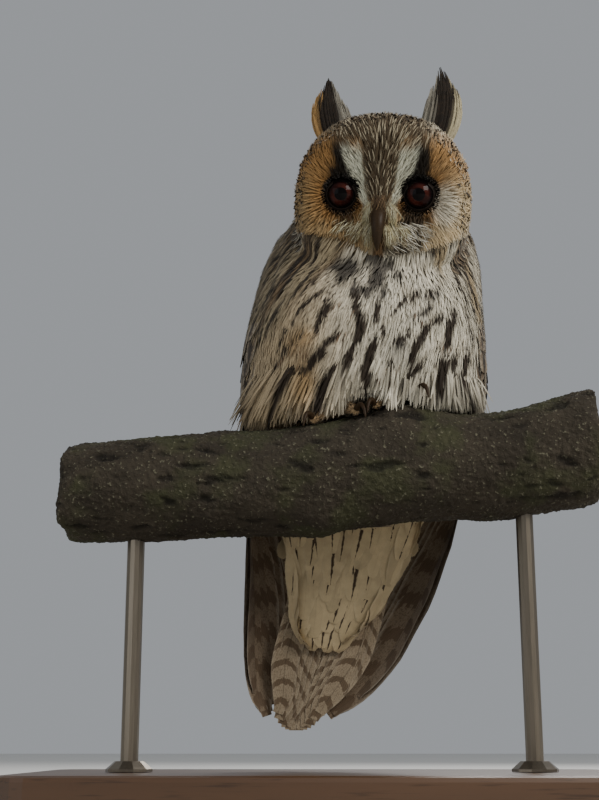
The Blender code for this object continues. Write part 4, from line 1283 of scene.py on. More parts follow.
# %% [markdown]
# ## Crown, nape and sides of the head
# The feathers of the forehead run up from the wedge between the eyes, over the crown and down the
# nape. They are small and finely speckled in black, grey and buff.

# %% Crown and sides of the head
SMALL_VANE = vane_template(4, 5, 12)


def head_way(points):
    """Direction of the feathers over the crown and down the nape."""
    head = to_head(points)
    ring = np.stack([np.zeros(len(head)), head[:, 1] + 4, head[:, 2]], axis=1)
    over = -np.cross(np.array((1.0, 0, 0)), unit(ring))
    sides = fade(25, 46, np.abs(head[:, 0]))[:, None]
    way = over * (1 - 0.7 * sides) + np.array((0, 0.55, -0.75)) * sides
    return way @ head_axes.T


crown_roots = scatter(coat, faces_of("crown"), 3.0 * MM, 21)
crown_rng = np.random.default_rng(22)
crown_count = len(crown_roots)
crown_head = to_head(crown_roots)
crown_length = (8.5 + 8.0 * fade(0, 45, crown_head[:, 1])) * crown_rng.uniform(0.85, 1.2, crown_count) * MM
crown_sway = crown_rng.standard_normal((crown_count, 3)) * 0.15
crown_path, crown_ups = lay_shafts(coat, crown_roots, head_way, crown_length, 5, crown_sway)
crown_points = grow(
    crown_path, crown_ups, crown_length * crown_rng.uniform(0.20, 0.27, crown_count), SMALL_VANE,
    {"depth": 4.5 * MM, "layer": 1.0, "lift": 0.4, "fray": 0.25, "roundness": 4.0, "roll": 0.06}, 23,
)
crown_shades = np.array(((0.36, 0.325, 0.25), (0.27, 0.21, 0.135), (0.20, 0.15, 0.09), (0.09, 0.068, 0.045)))
crown_ground = crown_shades[crown_rng.choice(4, crown_count, p=(0.28, 0.32, 0.25, 0.15))]
crown = Tract()
crown.add(
    crown_points, crown_roots, SMALL_VANE, with_alpha(crown_ground, 0.15),
    with_alpha(same(STREAK_BLACK, crown_count), 0.2),
    rows_of(crown_count, crown_rng.uniform(0.2, 0.45, crown_count), 0.5, 0.75),
    rows_of(crown_count, 2.5, crown_rng.uniform(0, 6.28, crown_count), 0.3),
)
crown.finish("crown_feathers", vane_material, "plumage_brown", soften=0.4)

# %% [markdown]
# ## Breast, belly and back
# Body feathers are broad, soft and loose, and their free barbs hide where one ends and the next
# begins. So the front is laid in two steps: broad feathers below, and over them thousands of fine
# plumes for the loose barbs. Both take their colours from the drawn marks, so that a streak runs on
# from one feather to the next. Along the belly's low edge the plumes hang
# free down to the branch.

# %% The lie of the body
BODY_Z = (213, 230, 254, 274, 307, 330, 350, 380)
BODY_MIDDLE_X = (19, 20, 21, 22, 25, 28, 31, 33)
BODY_HALF_WIDTH = (66, 70, 71, 70, 66, 63, 57, 33)
PERCH_X = (-155, -120, -76, -44, -10, 20, 60, 88, 118, 155)
PERCH_Z = (177.5, 180, 182, 183.5, 187, 191, 193, 194.5, 198, 205)
PERCH_Y = -10
PERCH_RADIUS = 33


def body_way(points):
    """Direction of the feathers on the neck and trunk."""
    x, y, z = points[:, 0] / MM, points[:, 1] / MM, points[:, 2] / MM
    low = np.interp(x, (-50, -10, 20, 55, 80, 95), (-0.42, -0.42, -0.26, -0.16, -0.02, 0.06))
    high = np.interp(x, (-40, -5, 30, 55, 80, 95), (-1.0, -0.75, -0.35, 0.15, 0.55, 0.5))
    slant = low * (0.5 + 0.5 * fade(222, 262, z))
    slant = slant + (high - slant) * fade(282, 318, z)
    middle = np.interp(z, BODY_Z, BODY_MIDDLE_X)
    half = np.interp(z, BODY_Z, BODY_HALF_WIDTH)
    from_behind = (x - middle) / half * (0.10 + 0.3 * fade(300, 340, z))
    slant = slant + (from_behind - slant) * fade(8, 32, y)
    return np.stack([slant, np.zeros(len(z)), -np.ones(len(z))], axis=1)


def clear_of_perch(path, ups, allowed):
    """Shorten the shafts that would run into the branch or hang in front of it."""
    x, y, z = path[..., 0] / MM, path[..., 1] / MM, path[..., 2] / MM
    axis_z = np.interp(x, PERCH_X, PERCH_Z)
    gap = np.hypot(y - PERCH_Y, z - axis_z) - PERCH_RADIUS
    fine = (gap > allowed) & ~((z < 214) & (y < PERCH_Y))
    rows = path.shape[1] - 1
    whole_rows = np.where(fine.all(axis=1), rows, np.argmin(fine, axis=1))
    keep = np.maximum(whole_rows / rows, 0.34)
    return shortened(path, ups, keep), whole_rows > rows * 0.22


BODY_VANE = vane_template(8, 10, 44)
NARROW_VANE = vane_template(4, 9, 26)


def body_feathers(tract, roots, length, width, colours, marks, style, seed, template=BODY_VANE, rows=12):
    """Lay broad feathers from some roots and add them to a tract."""
    rng = np.random.default_rng(seed)
    count = len(roots)
    lengths = length * rng.uniform(0.88, 1.14, count)
    sway = rng.standard_normal((count, 3)) * 0.08
    path, ups = lay_shafts(coat, roots, body_way, lengths, rows, sway)
    (path, ups), kept = clear_of_perch(path, ups, 1.5)
    path, ups, roots = path[kept], ups[kept], roots[kept]
    count = len(roots)
    points = grow(path, ups, width / 2 * rng.uniform(0.88, 1.12, count), template, style, seed + 1)
    seen = path[:, int(rows * 0.75)]
    ground, mark, pattern, feather = marks(points, seen, colours(seen), rng)
    tract.add(points, roots, template, ground, mark, pattern, feather)


def front_marks(points, places, ground, rng):
    """The drawn marks of the breast and belly, read at every point of a feather."""
    count = len(places)
    colour = breast_colours(points) * np.exp(0.05 * rng.standard_normal(count))[:, None, None]
    return (
        with_alpha(colour, 0.1), with_alpha(same(BROWN, count), 0.9),
        rows_of(count, 0.0, 0.0, 0.03), rows_of(count, 2.0, 0.0, 0.15),
    )


def back_marks(points, places, ground, rng):
    """Dark centres, ragged bars and fine speckles."""
    count = len(places)
    ground = ground * np.exp(0.16 * rng.standard_normal(count))[:, None]
    return (
        with_alpha(ground, 0.30), with_alpha(same((0.035, 0.026, 0.018), count), 0.25),
        rows_of(count, rng.uniform(0.25, 0.5, count), rng.uniform(0.4, 0.8, count), 0.7),
        rows_of(count, rng.uniform(2.5, 4.0, count), rng.uniform(0, 6.28, count), 0.4),
    )

# %% Belly
def in_front(middles, normals):
    """Places that face the viewer more than the back."""
    return (normals[:, 1] < 0.35) & (middles[:, 1] < 45 * MM)


def front_base(middles, normals):
    """The breast and belly, but not the low edge where broad feathers would stand off."""
    return in_front(middles, normals) & (middles[:, 2] > 266 * MM)


def behind(middles, normals):
    """The back, without the hollow round the perch."""
    return ~in_front(middles, normals) & (middles[:, 1] > 8 * MM)


SOFT = {
    "depth": 4 * MM, "layer": 0.5, "lift": 0.2, "camber": 0.08, "fray": 0.06, "ripple": 0.06,
    "roundness": 4.5, "roll": 0.03, "jitter": 0.3,
}
front_under = Tract()
for part, seed in (("trunk", 31), ("neck", 33)):
    body_feathers(
        front_under, scatter(coat, faces_of(part, front_base), 9.5 * MM, seed), 34 * MM, 20 * MM,
        front_colours, front_marks, {**SOFT, "base": -1.2}, seed + 1,
    )
front_under.finish("breast_and_belly_feathers", vane_material, "plumage_pale", soften=0.5)

# %% Plumes of the breast and belly
PLUME_VANE = vane_template(1, 4)
SHOULDER_FROM = 284 * MM


def plumes(tract, faces, spacing, length, half, colours, seed):
    """Lay fine loose plumes, each in the colours of the places where it is seen."""
    rng = np.random.default_rng(seed)
    roots = scatter(coat, faces, spacing, seed)
    count = len(roots)
    sway = 0.13 * rng.standard_normal((count, 3))
    path, ups = lay_shafts(coat, roots, body_way, length * rng.uniform(0.75, 1.25, count), 6, sway)
    points = grow(
        path, ups, half * rng.uniform(0.7, 1.3, count), PLUME_VANE,
        {"depth": 2.5 * MM, "layer": 0.7, "lift": 0.2, "roundness": 2.2, "jitter": 0.25}, seed + 1,
    )
    near_root = tinted(colours(path[:, 3]), seed + 2, 0.13)
    near_tip = tinted(colours(path[:, 6]), seed + 2, 0.13)
    tract.add(points, roots, PLUME_VANE, with_alpha(near_root, 0.0), with_alpha(near_tip, 0.0))


front_plumes = Tract()
for part, seed in (("trunk", 41), ("neck", 44), ("face", 47), ("wing", 50), ("leg", 53)):
    def shows_plumes(middles, normals, part=part):
        """The front, on the face only below the disc's rim, on the wing only at the shoulder."""
        wanted = in_front(middles, normals)
        if part == "face":
            wanted &= rim_gap(to_head(middles)) < 1.5
        elif part == "wing":
            wanted &= middles[:, 2] > SHOULDER_FROM
        return wanted
    plumes(front_plumes, faces_of(part, shows_plumes), 1.3 * MM, 11 * MM, 0.55 * MM, breast_colours, seed)


def low_edge(middles, normals):
    """The belly's front just above the place where it turns under."""
    low = (middles[:, 2] > 232 * MM) & (middles[:, 2] < 254 * MM)
    return low & (normals[:, 1] < -0.4) & (middles[:, 0] > -44 * MM)


fringe_roots = scatter(coat, faces_of("trunk", low_edge), 1.15 * MM, 48)
fringe_count = len(fringe_roots)
fringe_rng = np.random.default_rng(49)
_, fringe_normals, _ = coat.nearest(fringe_roots)
perch_top = np.interp(fringe_roots[:, 0] / MM, PERCH_X, PERCH_Z) * MM + 31 * MM
fringe_length = np.maximum(fringe_roots[:, 2] - perch_top, 4 * MM) * fringe_rng.uniform(0.7, 1.1, fringe_count)
over_toes = fade(14, 9, np.abs(fringe_roots[:, 0] / MM - 21))
fringe_length *= 1 - 0.5 * over_toes
fringe_way = body_way(fringe_roots) + np.array((0.0, 0.22, 0.0))
fringe_way = unit(fringe_way + 0.12 * fringe_rng.standard_normal((fringe_count, 3)))
share = np.linspace(0, 1, 7)[None, :, None]
fringe_path = fringe_roots[:, None] + fringe_way[:, None] * fringe_length[:, None, None] * share
fringe_points = grow(
    fringe_path, np.repeat(fringe_normals[:, None], 7, axis=1),
    fringe_rng.uniform(0.5, 1.1, fringe_count) * MM, PLUME_VANE,
    {"depth": 2.5 * MM, "layer": 0.5, "roundness": 2.2, "jitter": 0.5}, 51,
)
fringe_places = fringe_path.copy()
fringe_places[..., 1] = np.minimum(fringe_places[..., 1], -20 * MM)
fringe_near = tinted(breast_colours(fringe_places[:, 3]), 52, 0.13)
fringe_tip = tinted(breast_colours(fringe_places[:, 6]), 52, 0.13)
front_plumes.add(
    fringe_points, fringe_roots, PLUME_VANE, with_alpha(fringe_near, 0.0), with_alpha(fringe_tip, 0.0)
)
front_plumes.finish("breast_and_belly_plumes", plume_material, "plumage_pale", largest=0.012, soften=0.7)

# %% Back

def below_nape(middles, normals):
    """The back below the short plumes of the nape."""
    return behind(middles, normals) & (middles[:, 2] < 340 * MM)


back = Tract()
for part, seed in (("trunk", 51), ("neck", 53)):
    body_feathers(
        back, scatter(coat, faces_of(part, below_nape), 8.0 * MM, seed), 30 * MM, 18 * MM,
        back_colours, back_marks, {**SOFT, "layer": 1.3}, seed + 1, NARROW_VANE, 9,
    )
back.finish("back_feathers", vane_material, "plumage_brown", soften=0.4)


def on_coverts(middles, normals):
    """The back of the wings above their long feathers, and their sides below the shoulder."""
    front_shoulder = in_front(middles, normals) & (middles[:, 2] > SHOULDER_FROM)
    return (middles[:, 2] > 216 * MM) & ~front_shoulder


back_plumes = Tract()
for part, test, seed in (("trunk", behind, 55), ("neck", behind, 57), ("wing", on_coverts, 59)):
    plumes(back_plumes, faces_of(part, test), 2.3 * MM, 9 * MM, 0.5 * MM, mottled_colours, seed)
back_plumes.finish("back_and_covert_plumes", plume_material, "plumage_brown", largest=0.012, soften=0.5)

# %% [markdown]
# ## Legs and feet
# A long-eared owl's legs and toes are feathered to the claws. The shanks are hidden in the plumes
# of the belly, and short buff plumes lie along the toes.

# %% Legs and feet
LEFT_FOOT = np.array((38, -7)) * MM
RIGHT_FOOT = np.array((2, -7)) * MM
middle_between_feet = (LEFT_FOOT[0] + RIGHT_FOOT[0]) / 2


def foot_way(points):
    """Direction of the plumes on the toes, out from under the shank."""
    centre = np.where((points[:, 0] > middle_between_feet)[:, None], LEFT_FOOT, RIGHT_FOOT)
    out = unit(points[:, :2] - centre)
    return np.concatenate([out, -np.full((len(points), 1), 0.45)], axis=1)


toe_roots = scatter(coat, faces_of("foot"), 0.85 * MM, 63)
toe_count = len(toe_roots)
toe_rng = np.random.default_rng(64)
toe_path, toe_ups = lay_shafts(
    coat, toe_roots, foot_way, 3.6 * MM * toe_rng.uniform(0.8, 1.2, toe_count), 4,
    toe_rng.standard_normal((toe_count, 3)) * 0.15,
)
toe_points = grow(
    toe_path, toe_ups, np.full(toe_count, 0.32 * MM), STRAND,
    {"depth": 0.6 * MM, "layer": 0.5, "roundness": 2.2, "jitter": 0.12}, 65,
)
toe_colour = tinted(same(TOE_BUFF, toe_count), 66, 0.22)
toes = Tract()
toes.add(toe_points, toe_roots, STRAND, with_alpha(toe_colour, 0.0), with_alpha(toe_colour * 1.15, 0.0))
toes.finish("toe_feathers", plume_material, "plumage_pale", largest=0.012, soften=0.5)

# %% [markdown]
# ## Wings
# A closed wing is a stack. The ten long primaries lie lowest and reach the end of the tail, the
# secondaries lie over them, and rows of coverts, ever shorter towards the shoulder, cover their
# bases. A place on the wing is given by an angle round the body and a height, and the nearest
# point of the wing's solid to it is where the feather lies.

# %% The wing's surface
WING_Z = (52, 66, 90, 125, 160, 208, 242, 274, 307, 330, 346)
WING_MIDDLE_X = (-20, -13, -4, 6, 13, 19, 21, 22, 25, 28, 30)
WING_HALF_WIDTH = (18, 31, 42, 52, 61, 71, 75, 74, 70, 67, 61)
WING_MIDDLE_Y = (46, 46, 46, 47, 45, 34, 16, 12, 14, 16, 15)
WING_HALF_DEPTH = (3, 5, 8, 11, 16, 32, 51, 54, 48, 41, 33)


def wing_surface(side, angles, heights):
    """Places and outward directions on a wing, from angles in degrees and heights in mm."""
    middle_x = np.interp(heights, WING_Z, WING_MIDDLE_X)
    middle_y = np.interp(heights, WING_Z, WING_MIDDLE_Y)
    half_width = np.interp(heights, WING_Z, WING_HALF_WIDTH)
    half_depth = np.interp(heights, WING_Z, WING_HALF_DEPTH)
    turn = np.radians(angles)
    power = 2 / 2.25
    x = half_width * np.sign(np.cos(turn)) * np.abs(np.cos(turn)) ** power
    y = half_depth * np.sign(np.sin(turn)) * np.abs(np.sin(turn)) ** power
    places = np.stack([middle_x + side * x, middle_y + y, heights], axis=-1) * MM
    outward = np.stack(
        [side * np.cos(turn) / half_width, np.sin(turn) / half_depth, np.zeros_like(turn)], axis=-1
    )
    return places, unit(outward)


LONG_VANE = vane_template(8, 20)


def wing_shafts(side, roots, tips, rows):
    """Shafts from (angle, height) roots to tips on a wing."""
    roots = np.array(roots, dtype=float)
    tips = np.array(tips, dtype=float)
    share = np.linspace(0, 1, rows + 1)[None]
    eased = share ** 1.25
    angles = roots[:, :1] + (tips[:, :1] - roots[:, :1]) * eased
    heights = roots[:, 1:] + (tips[:, 1:] - roots[:, 1:]) * share
    return wing_surface(side, angles, heights)


def flight_marks(count, rng, bars):
    """Grey brown vanes with dark bars and pale edges."""
    ground = same((0.20, 0.15, 0.10), count) * np.exp(0.1 * rng.standard_normal(count))[:, None]
    return (
        with_alpha(ground, 0.45), with_alpha(same((0.045, 0.035, 0.026), count), 0.1),
        rows_of(count, 0.0, 0.8, 0.5), rows_of(count, bars, rng.uniform(0, 0.8, count), 0.8),
    )

# %% Flight feathers and coverts
PRIMARY_TIPS = (66, 55, 53, 55, 61, 70, 84, 100, 118, 136)


def wing_stack(side, seed):
    """The flight feathers and the coverts of one wing."""
    rng = np.random.default_rng(seed)
    tract = Tract()
    level = 0.2
    ranks = (
        ("primary", 10, (0, 205), (44, 232), (8, 60), (80, 60), 10.0, 7.5),
        ("secondary", 11, (24, 238), (80, 262), (44, 140), (84, 168), 13.0, 6.5),
        ("greater_covert", 11, (-2, 236), (80, 276), (2, 190), (83, 226), 10.5, 3.5),
    )
    for rank, count, root_a, root_b, tip_a, tip_b, half_width, bars in ranks:
        share = np.linspace(0, 1, count)[:, None]
        roots = np.array(root_a) * (1 - share) + np.array(root_b) * share
        tips = np.array(tip_a) * (1 - share) + np.array(tip_b) * share
        if rank == "primary":
            tips[:, 1] = PRIMARY_TIPS
        tips[:, 1] += rng.uniform(-1.5, 1.5, count)
        path, ups = wing_shafts(side, roots, tips, 22)
        lift = (level + 0.16 * np.arange(count)) * MM
        path = path + ups * lift[:, None, None]
        level += 0.16 * count
        points = grow(
            path, ups, np.full(count, half_width * MM), LONG_VANE,
            {"layer": 0.5, "camber": 0.08, "sweep": 0.8, "fray": 0.04, "roundness": 7.0,
             "jitter": 0.05, "depth": 0.0 if rank == "primary" else 6 * MM},
            seed + count,
        )
        tract.add(points, path[:, 0], LONG_VANE, *flight_marks(count, rng, bars))
    return tract


def wing_side(side):
    """A test for places on one wing above its long feathers."""
    def test(middles, normals):
        on_shoulder = in_front(middles, normals) & (middles[:, 2] > SHOULDER_FROM + 12 * MM)
        return ((middles[:, 0] - 0.022) * side > 0) & ~on_shoulder
    return test


def small_covert_marks(points, places, ground, rng):
    """Dark centres with pale fringes, streaked and speckled."""
    count = len(places)
    ground = mix((0.17, 0.13, 0.09), (0.37, 0.31, 0.22), rng.random(count) ** 1.8)
    return (
        with_alpha(ground, 0.4), with_alpha(same((0.035, 0.027, 0.020), count), 0.3),
        rows_of(count, rng.uniform(0.2, 0.45, count), rng.uniform(0.3, 0.8, count), 0.75),
        rows_of(count, rng.uniform(2.0, 3.5, count), rng.uniform(0, 6.28, count), 0.5),
    )


COVERT_VANE = vane_template(4, 8, 20)
for side_name, side, seed in (("left", 1, 71), ("right", -1, 76)):
    wing = wing_stack(side, seed)
    covert_roots = scatter(coat, faces_of("wing", wing_side(side)), 7.5 * MM, seed + 1)
    body_feathers(
        wing, covert_roots, 24 * MM, 13 * MM, back_colours, small_covert_marks,
        {**SOFT, "depth": 5 * MM, "layer": 1.2}, seed + 2, COVERT_VANE, 9,
    )
    wing.finish("wing_feathers_" + side_name, vane_material, "plumage_brown", ("wing_" + side_name,))

# %% [markdown]
# ## Tail
# The closed tail is a stack of twelve feathers with narrow dark bars. The middle pair lies on top,
# seen from behind, and the outer ones are a little shorter. Long buff feathers from the vent cover
# two thirds of it from below, each with a short thin dark dash on its shaft.

# %% Tail feathers
TAIL_ROOT_Z = 200.0
TAIL_Y = 45.4


def tail_middle(height):
    """Middle line of the tail, which leans with the wings."""
    return np.interp(height, WING_Z, WING_MIDDLE_X)


tail = Tract()
tail_rng = np.random.default_rng(81)
places = np.linspace(-1, 1, 12)
share = np.linspace(0, 1, 23)[None]
tail_tips = 45 + 10 * np.abs(places) ** 2.2
heights = TAIL_ROOT_Z + (tail_tips[:, None] - TAIL_ROOT_Z) * share
reach = places[:, None] * (8 + 13.5 * np.minimum(1, share * 2.2))
reach = reach * (1 - 0.42 * fade(0.75, 1.0, share))
stack = (1 - np.abs(places))[:, None] * 1.5
path = np.stack(
    [tail_middle(heights) + reach, TAIL_Y + stack - 0.9 + 0 * heights, heights], axis=-1
) * MM
ups = np.zeros_like(path)
ups[..., 1] = 1.0
points = grow(
    path, ups, np.full(12, 9.0 * MM), LONG_VANE,
    {"layer": 0.3, "camber": 0.06, "sweep": 0.5, "fray": 0.04, "roundness": 9.0, "jitter": 0.05}, 82,
)
ground = same((0.30, 0.235, 0.155), 12) * np.exp(0.08 * tail_rng.standard_normal(12))[:, None]
tail.add(
    points, path[:, 0], LONG_VANE, with_alpha(ground, 0.15),
    with_alpha(same((0.06, 0.045, 0.030), 12), 0.35),
    rows_of(12, 0.0, 0.85, 0.35), rows_of(12, 13.0, 12.0 * np.abs(places) ** 2.2 * 0.5, 0.9),
)
tail.finish("tail_feathers", vane_material, "plumage_brown", ("tail",))

# %% Feathers under the tail
vent_bm = node_copy("undertail_coverts")
bmesh.ops.subdivide_edges(vent_bm, edges=vent_bm.edges, cuts=2, use_grid_fill=True)
bmesh.ops.triangulate(vent_bm, faces=vent_bm.faces)
for _ in range(6):
    bmesh.ops.smooth_vert(
        vent_bm, verts=vent_bm.verts, factor=0.5, use_axis_x=True, use_axis_y=True, use_axis_z=True
    )
vent_mesh = bpy.data.meshes.new("vent_surface")
vent_bm.to_mesh(vent_mesh)
vent_bm.free()
vent = Surface(vent_mesh)
vent.normals = unit(vent.blurred(vent.normals, 4))
vent_middles = vent.points[vent.faces].mean(axis=1)
vent_faces = np.flatnonzero((unit(vent.face_normals)[:, 1] < 0.0) & (vent_middles[:, 2] > 116 * MM))
vent_roots = scatter(vent, vent_faces, 7.5 * MM, 91)
vent_rng = np.random.default_rng(92)
vent_count = len(vent_roots)
vent_length = (44 - 14 * fade(150, 120, vent_roots[:, 2] / MM)) * MM * vent_rng.uniform(0.85, 1.1, vent_count)


def vent_way(points):
    """The feathers under the tail point down and lean with it."""
    z = points[:, 2] / MM
    lean = (tail_middle(z - 5) - tail_middle(z + 5)) / 10
    inward = (tail_middle(z) - points[:, 0] / MM) / 60
    return np.stack([lean + 0.4 * inward, np.zeros(len(z)), -np.ones(len(z))], axis=1)


vent_path, vent_ups = lay_shafts(
    vent, vent_roots, vent_way, vent_length, 12, vent_rng.standard_normal((vent_count, 3)) * 0.06
)
vent_points = grow(
    vent_path, vent_ups, vent_rng.uniform(6.5, 8.5, vent_count) * MM, NARROW_VANE,
    {**SOFT, "depth": 2 * MM, "layer": 1.0, "roundness": 3.5}, 93,
)
vent_ground = tinted(same((0.52, 0.41, 0.24), vent_count), 94, 0.07)
undertail = Tract()
undertail.add(
    vent_points, vent_roots, NARROW_VANE, with_alpha(vent_ground, 0.1),
    with_alpha(same((0.05, 0.03, 0.018), vent_count), 0.9),
    rows_of(vent_count, vent_rng.choice((0.0, 0.09, 0.12), vent_count), 0.0, 0.03),
    rows_of(vent_count, 2, 0, 0.25),
)
undertail.finish("undertail_feathers", vane_material, "plumage_pale", ("undertail_coverts",))

# %% [markdown]
# ## Ear tufts
# The tufts that look like ears are only long feathers that the owl can raise. Their barbs are loose,
# so each tuft is built of many narrow strands, close together: grey and white flecks on the inner
# edge, black in the middle, and a cream or buff outer edge.

# %% Ear tufts
TUFT_VANE = vane_template(2, 10)
TUFT_SHARE = np.linspace(0, 1, 8)
TUFT_HALF_WIDTH = (9.5, 12, 13.4, 13.6, 12.8, 11.0, 8.6, 5.6)


def tuft_path(foot, middle, tip, rows):
    """A smooth bend through the tuft, in the head's frame."""
    share = np.linspace(0, 1, rows + 1)[:, None]
    return (
        np.array(foot) * (1 - share) ** 2 + np.array(middle) * 2 * share * (1 - share)
        + np.array(tip) * share ** 2
    )


def make_ear_tuft(side_name, foot, middle, tip, outer_sign, outer_colour, seed):
    """One ear tuft of long overlapping feathers."""
    rng = np.random.default_rng(seed)
    count = 150
    layers = np.tile((0.0, 0.5, 1.0), count // 3)
    spread = np.linspace(-1, 1, count) + 0.05 * rng.standard_normal(count)
    line = tuft_path(foot, middle, tip, 16)
    share = np.linspace(0, 1, 17)
    width = np.maximum(np.interp(share, TUFT_SHARE, TUFT_HALF_WIDTH) - 2.2, 0.5)
    paths = []
    for place, layer in zip(spread, layers):
        length = (1 - 0.30 * abs(place) ** 1.8) * (1 - 0.25 * layer) - 0.12 * rng.random()
        own = np.stack([np.interp(share * length, share, line[:, axis]) for axis in range(3)], axis=1)
        own[:, 0] += place * np.interp(share * length, share, width)
        own[:, 1] += 2.4 * place ** 2 - 0.6 - 1.3 * layer + 0.4 * rng.standard_normal()
        paths.append(own)
    path = place_in_head(np.array(paths))
    ups = np.zeros_like(path)
    ups += np.array((0.0, -1.0, 0.0)) @ head_axes.T
    points = grow(
        path, ups, rng.uniform(0.7, 1.2, count) * MM, TUFT_VANE,
        {"layer": 0.4, "camber": 0.25, "sweep": 0.8, "fray": 0.3, "roundness": 3.0, "jitter": 0.2,
         "ripple": 0.1, "roll": 0.08}, seed + 1,
    )
    outward = (spread * outer_sign)[:, None] + 0.14 * rng.standard_normal((count, 1))
    high = TUFT_VANE[0][None, :, 1]
    colour = mix((0.016, 0.012, 0.009), outer_colour, fade(0.5, 0.85, outward + 0 * high))
    colour = mix(colour, (0.40, 0.37, 0.30), fade(-0.35, -0.8, outward + 0 * high) * 0.9)
    colour = mix(colour, (0.24, 0.17, 0.09), 0.55 * fade(0.25, 0.0, high) * fade(0.5, -0.2, outward))
    tract = Tract()
    tract.add(
        points, path[:, 0], TUFT_VANE, with_alpha(colour, 0.05),
        with_alpha(same(BLACK, count), 0.5),
        rows_of(count, 0.0, 0.1, 0.3), rows_of(count, 3.0, rng.uniform(0, 6, count), 0.2),
    )
    tract.finish(
        "ear_tuft_feathers_" + side_name, vane_material, "plumage_brown", ("ear_tuft_" + side_name,)
    )


make_ear_tuft("right", (-25, 2, 28), (-37, 4, 52), (-35, 9, 75), -1, (0.46, 0.27, 0.10), 101)
make_ear_tuft("left", (27, 2, 28), (40, 4, 58), (32, 9, 81), 1, (0.64, 0.56, 0.36), 105)

# %% [markdown]
# ## Eyes
# Owls' eyes are large and strongly domed. Each is one ball whose front carries a dark red brown iris
# with fine rays and a wide black pupil, under a clear wet coat; the iris's dark red brown is partly
# painted shade. The pattern follows the eye's own map, which measures the distance from the middle of
# the pupil.

# %% Eyes
eye_material, tree, shader = new_tree("wet_eye", 0.3)
eye_map = tree.nodes.new("ShaderNodeUVMap")
eye_map.uv_map = "iris"
place = split(tree, eye_map.outputs["UV"])
from_pupil = place[0]
ray = calc(tree, "SINE", calc(tree, "MULTIPLY", place[1], 2 * math.pi * 46))
ray = calc(tree, "ADD", ray, calc(tree, "MULTIPLY", noise(tree, 900.0), 3.0))
# The iris's dark red brown is partly painted shade.
iris = blend(
    tree, step_between(tree, ray, 0.2, 2.6), (0.016, 0.004, 0.003, 1.0), (0.050, 0.012, 0.008, 1.0)
)
iris = blend(tree, step_between(tree, from_pupil, 0.52, 0.66), iris, (0.010, 0.002, 0.002, 1.0))
black = (0.003, 0.002, 0.002, 1.0)
iris = blend(tree, step_between(tree, from_pupil, 0.385, 0.35), iris, black)
iris = blend(tree, step_between(tree, from_pupil, 0.66, 0.71), iris, black)
tree.links.new(iris, shader.inputs["Base Color"])
shader.inputs["Specular IOR Level"].default_value = 0.0
shader.inputs["Coat Weight"].default_value = 0.45
shader.inputs["Coat Roughness"].default_value = 0.02
shader.inputs["Coat IOR"].default_value = 1.28


def make_eye(side_name, side):
    """One eyeball with a domed front and its own map."""
    bm = bmesh.new()
    bmesh.ops.create_uvsphere(bm, u_segments=48, v_segments=32, radius=EYE_RADIUS)
    for vert in bm.verts:
        off_axis = math.hypot(vert.co.x, vert.co.y)
        if vert.co.z > 0:
            vert.co.z += 0.9 * math.exp(-(off_axis / 5.5) ** 2)
    layer = bm.loops.layers.uv.new("iris")
    for face in bm.faces:
        middle = face.calc_center_median()
        turn = math.atan2(middle.y, middle.x) / (2 * math.pi) + 0.5
        for loop in face.loops:
            point = loop.vert.co
            reach = math.hypot(point.x, point.y) / EYE_RADIUS
            if point.z < 0:
                reach = 2 - reach
            loop[layer].uv = (reach, turn)
    turn = head_place @ Matrix.Translation((side * EYE_X, EYE_CENTRE_Y + 0.9, EYE_Z))
    bmesh.ops.transform(bm, matrix=turn @ Matrix.Rotation(math.pi / 2, 4, "X"), verts=bm.verts)
    eye = object_from(bm, "eyeball_" + side_name)
    eye.data.shade_smooth()
    eye.data.materials.append(eye_material)
    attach(eye, "root")
    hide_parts("eye_" + side_name)
    return eye


for side_name, side in (("right", -1), ("left", 1)):
    make_eye(side_name, side)
print("iris across, in mm:", round(2 * 0.68 * EYE_RADIUS, 1))

# %% [markdown]
# A lid rings each eye: a soft fold of bare dark skin. Its section is a few points that are spun
# round the eye's own axis, and the upper part is drawn down a little over the ball, as a resting
# owl's is.

# %% Eyelids
lid_material, tree, shader = new_tree("lid_skin", 0.55)
fold = noise(tree, 1500.0, 3.0)
colour = blend(tree, fold, (0.006, 0.005, 0.004, 1.0), (0.024, 0.016, 0.012, 1.0))
tree.links.new(colour, shader.inputs["Base Color"])
bumped(tree, shader, fold, 0.5, 0.0003)
shader.inputs["Specular IOR Level"].default_value = 0.12
LID_SECTION = (
    (8.2, -4.7), (8.3, -5.4), (8.6, -5.5), (9.0, -4.9), (9.5, -4.0), (10.0, -2.9), (9.6, -1.7), (8.6, -3.4),
)


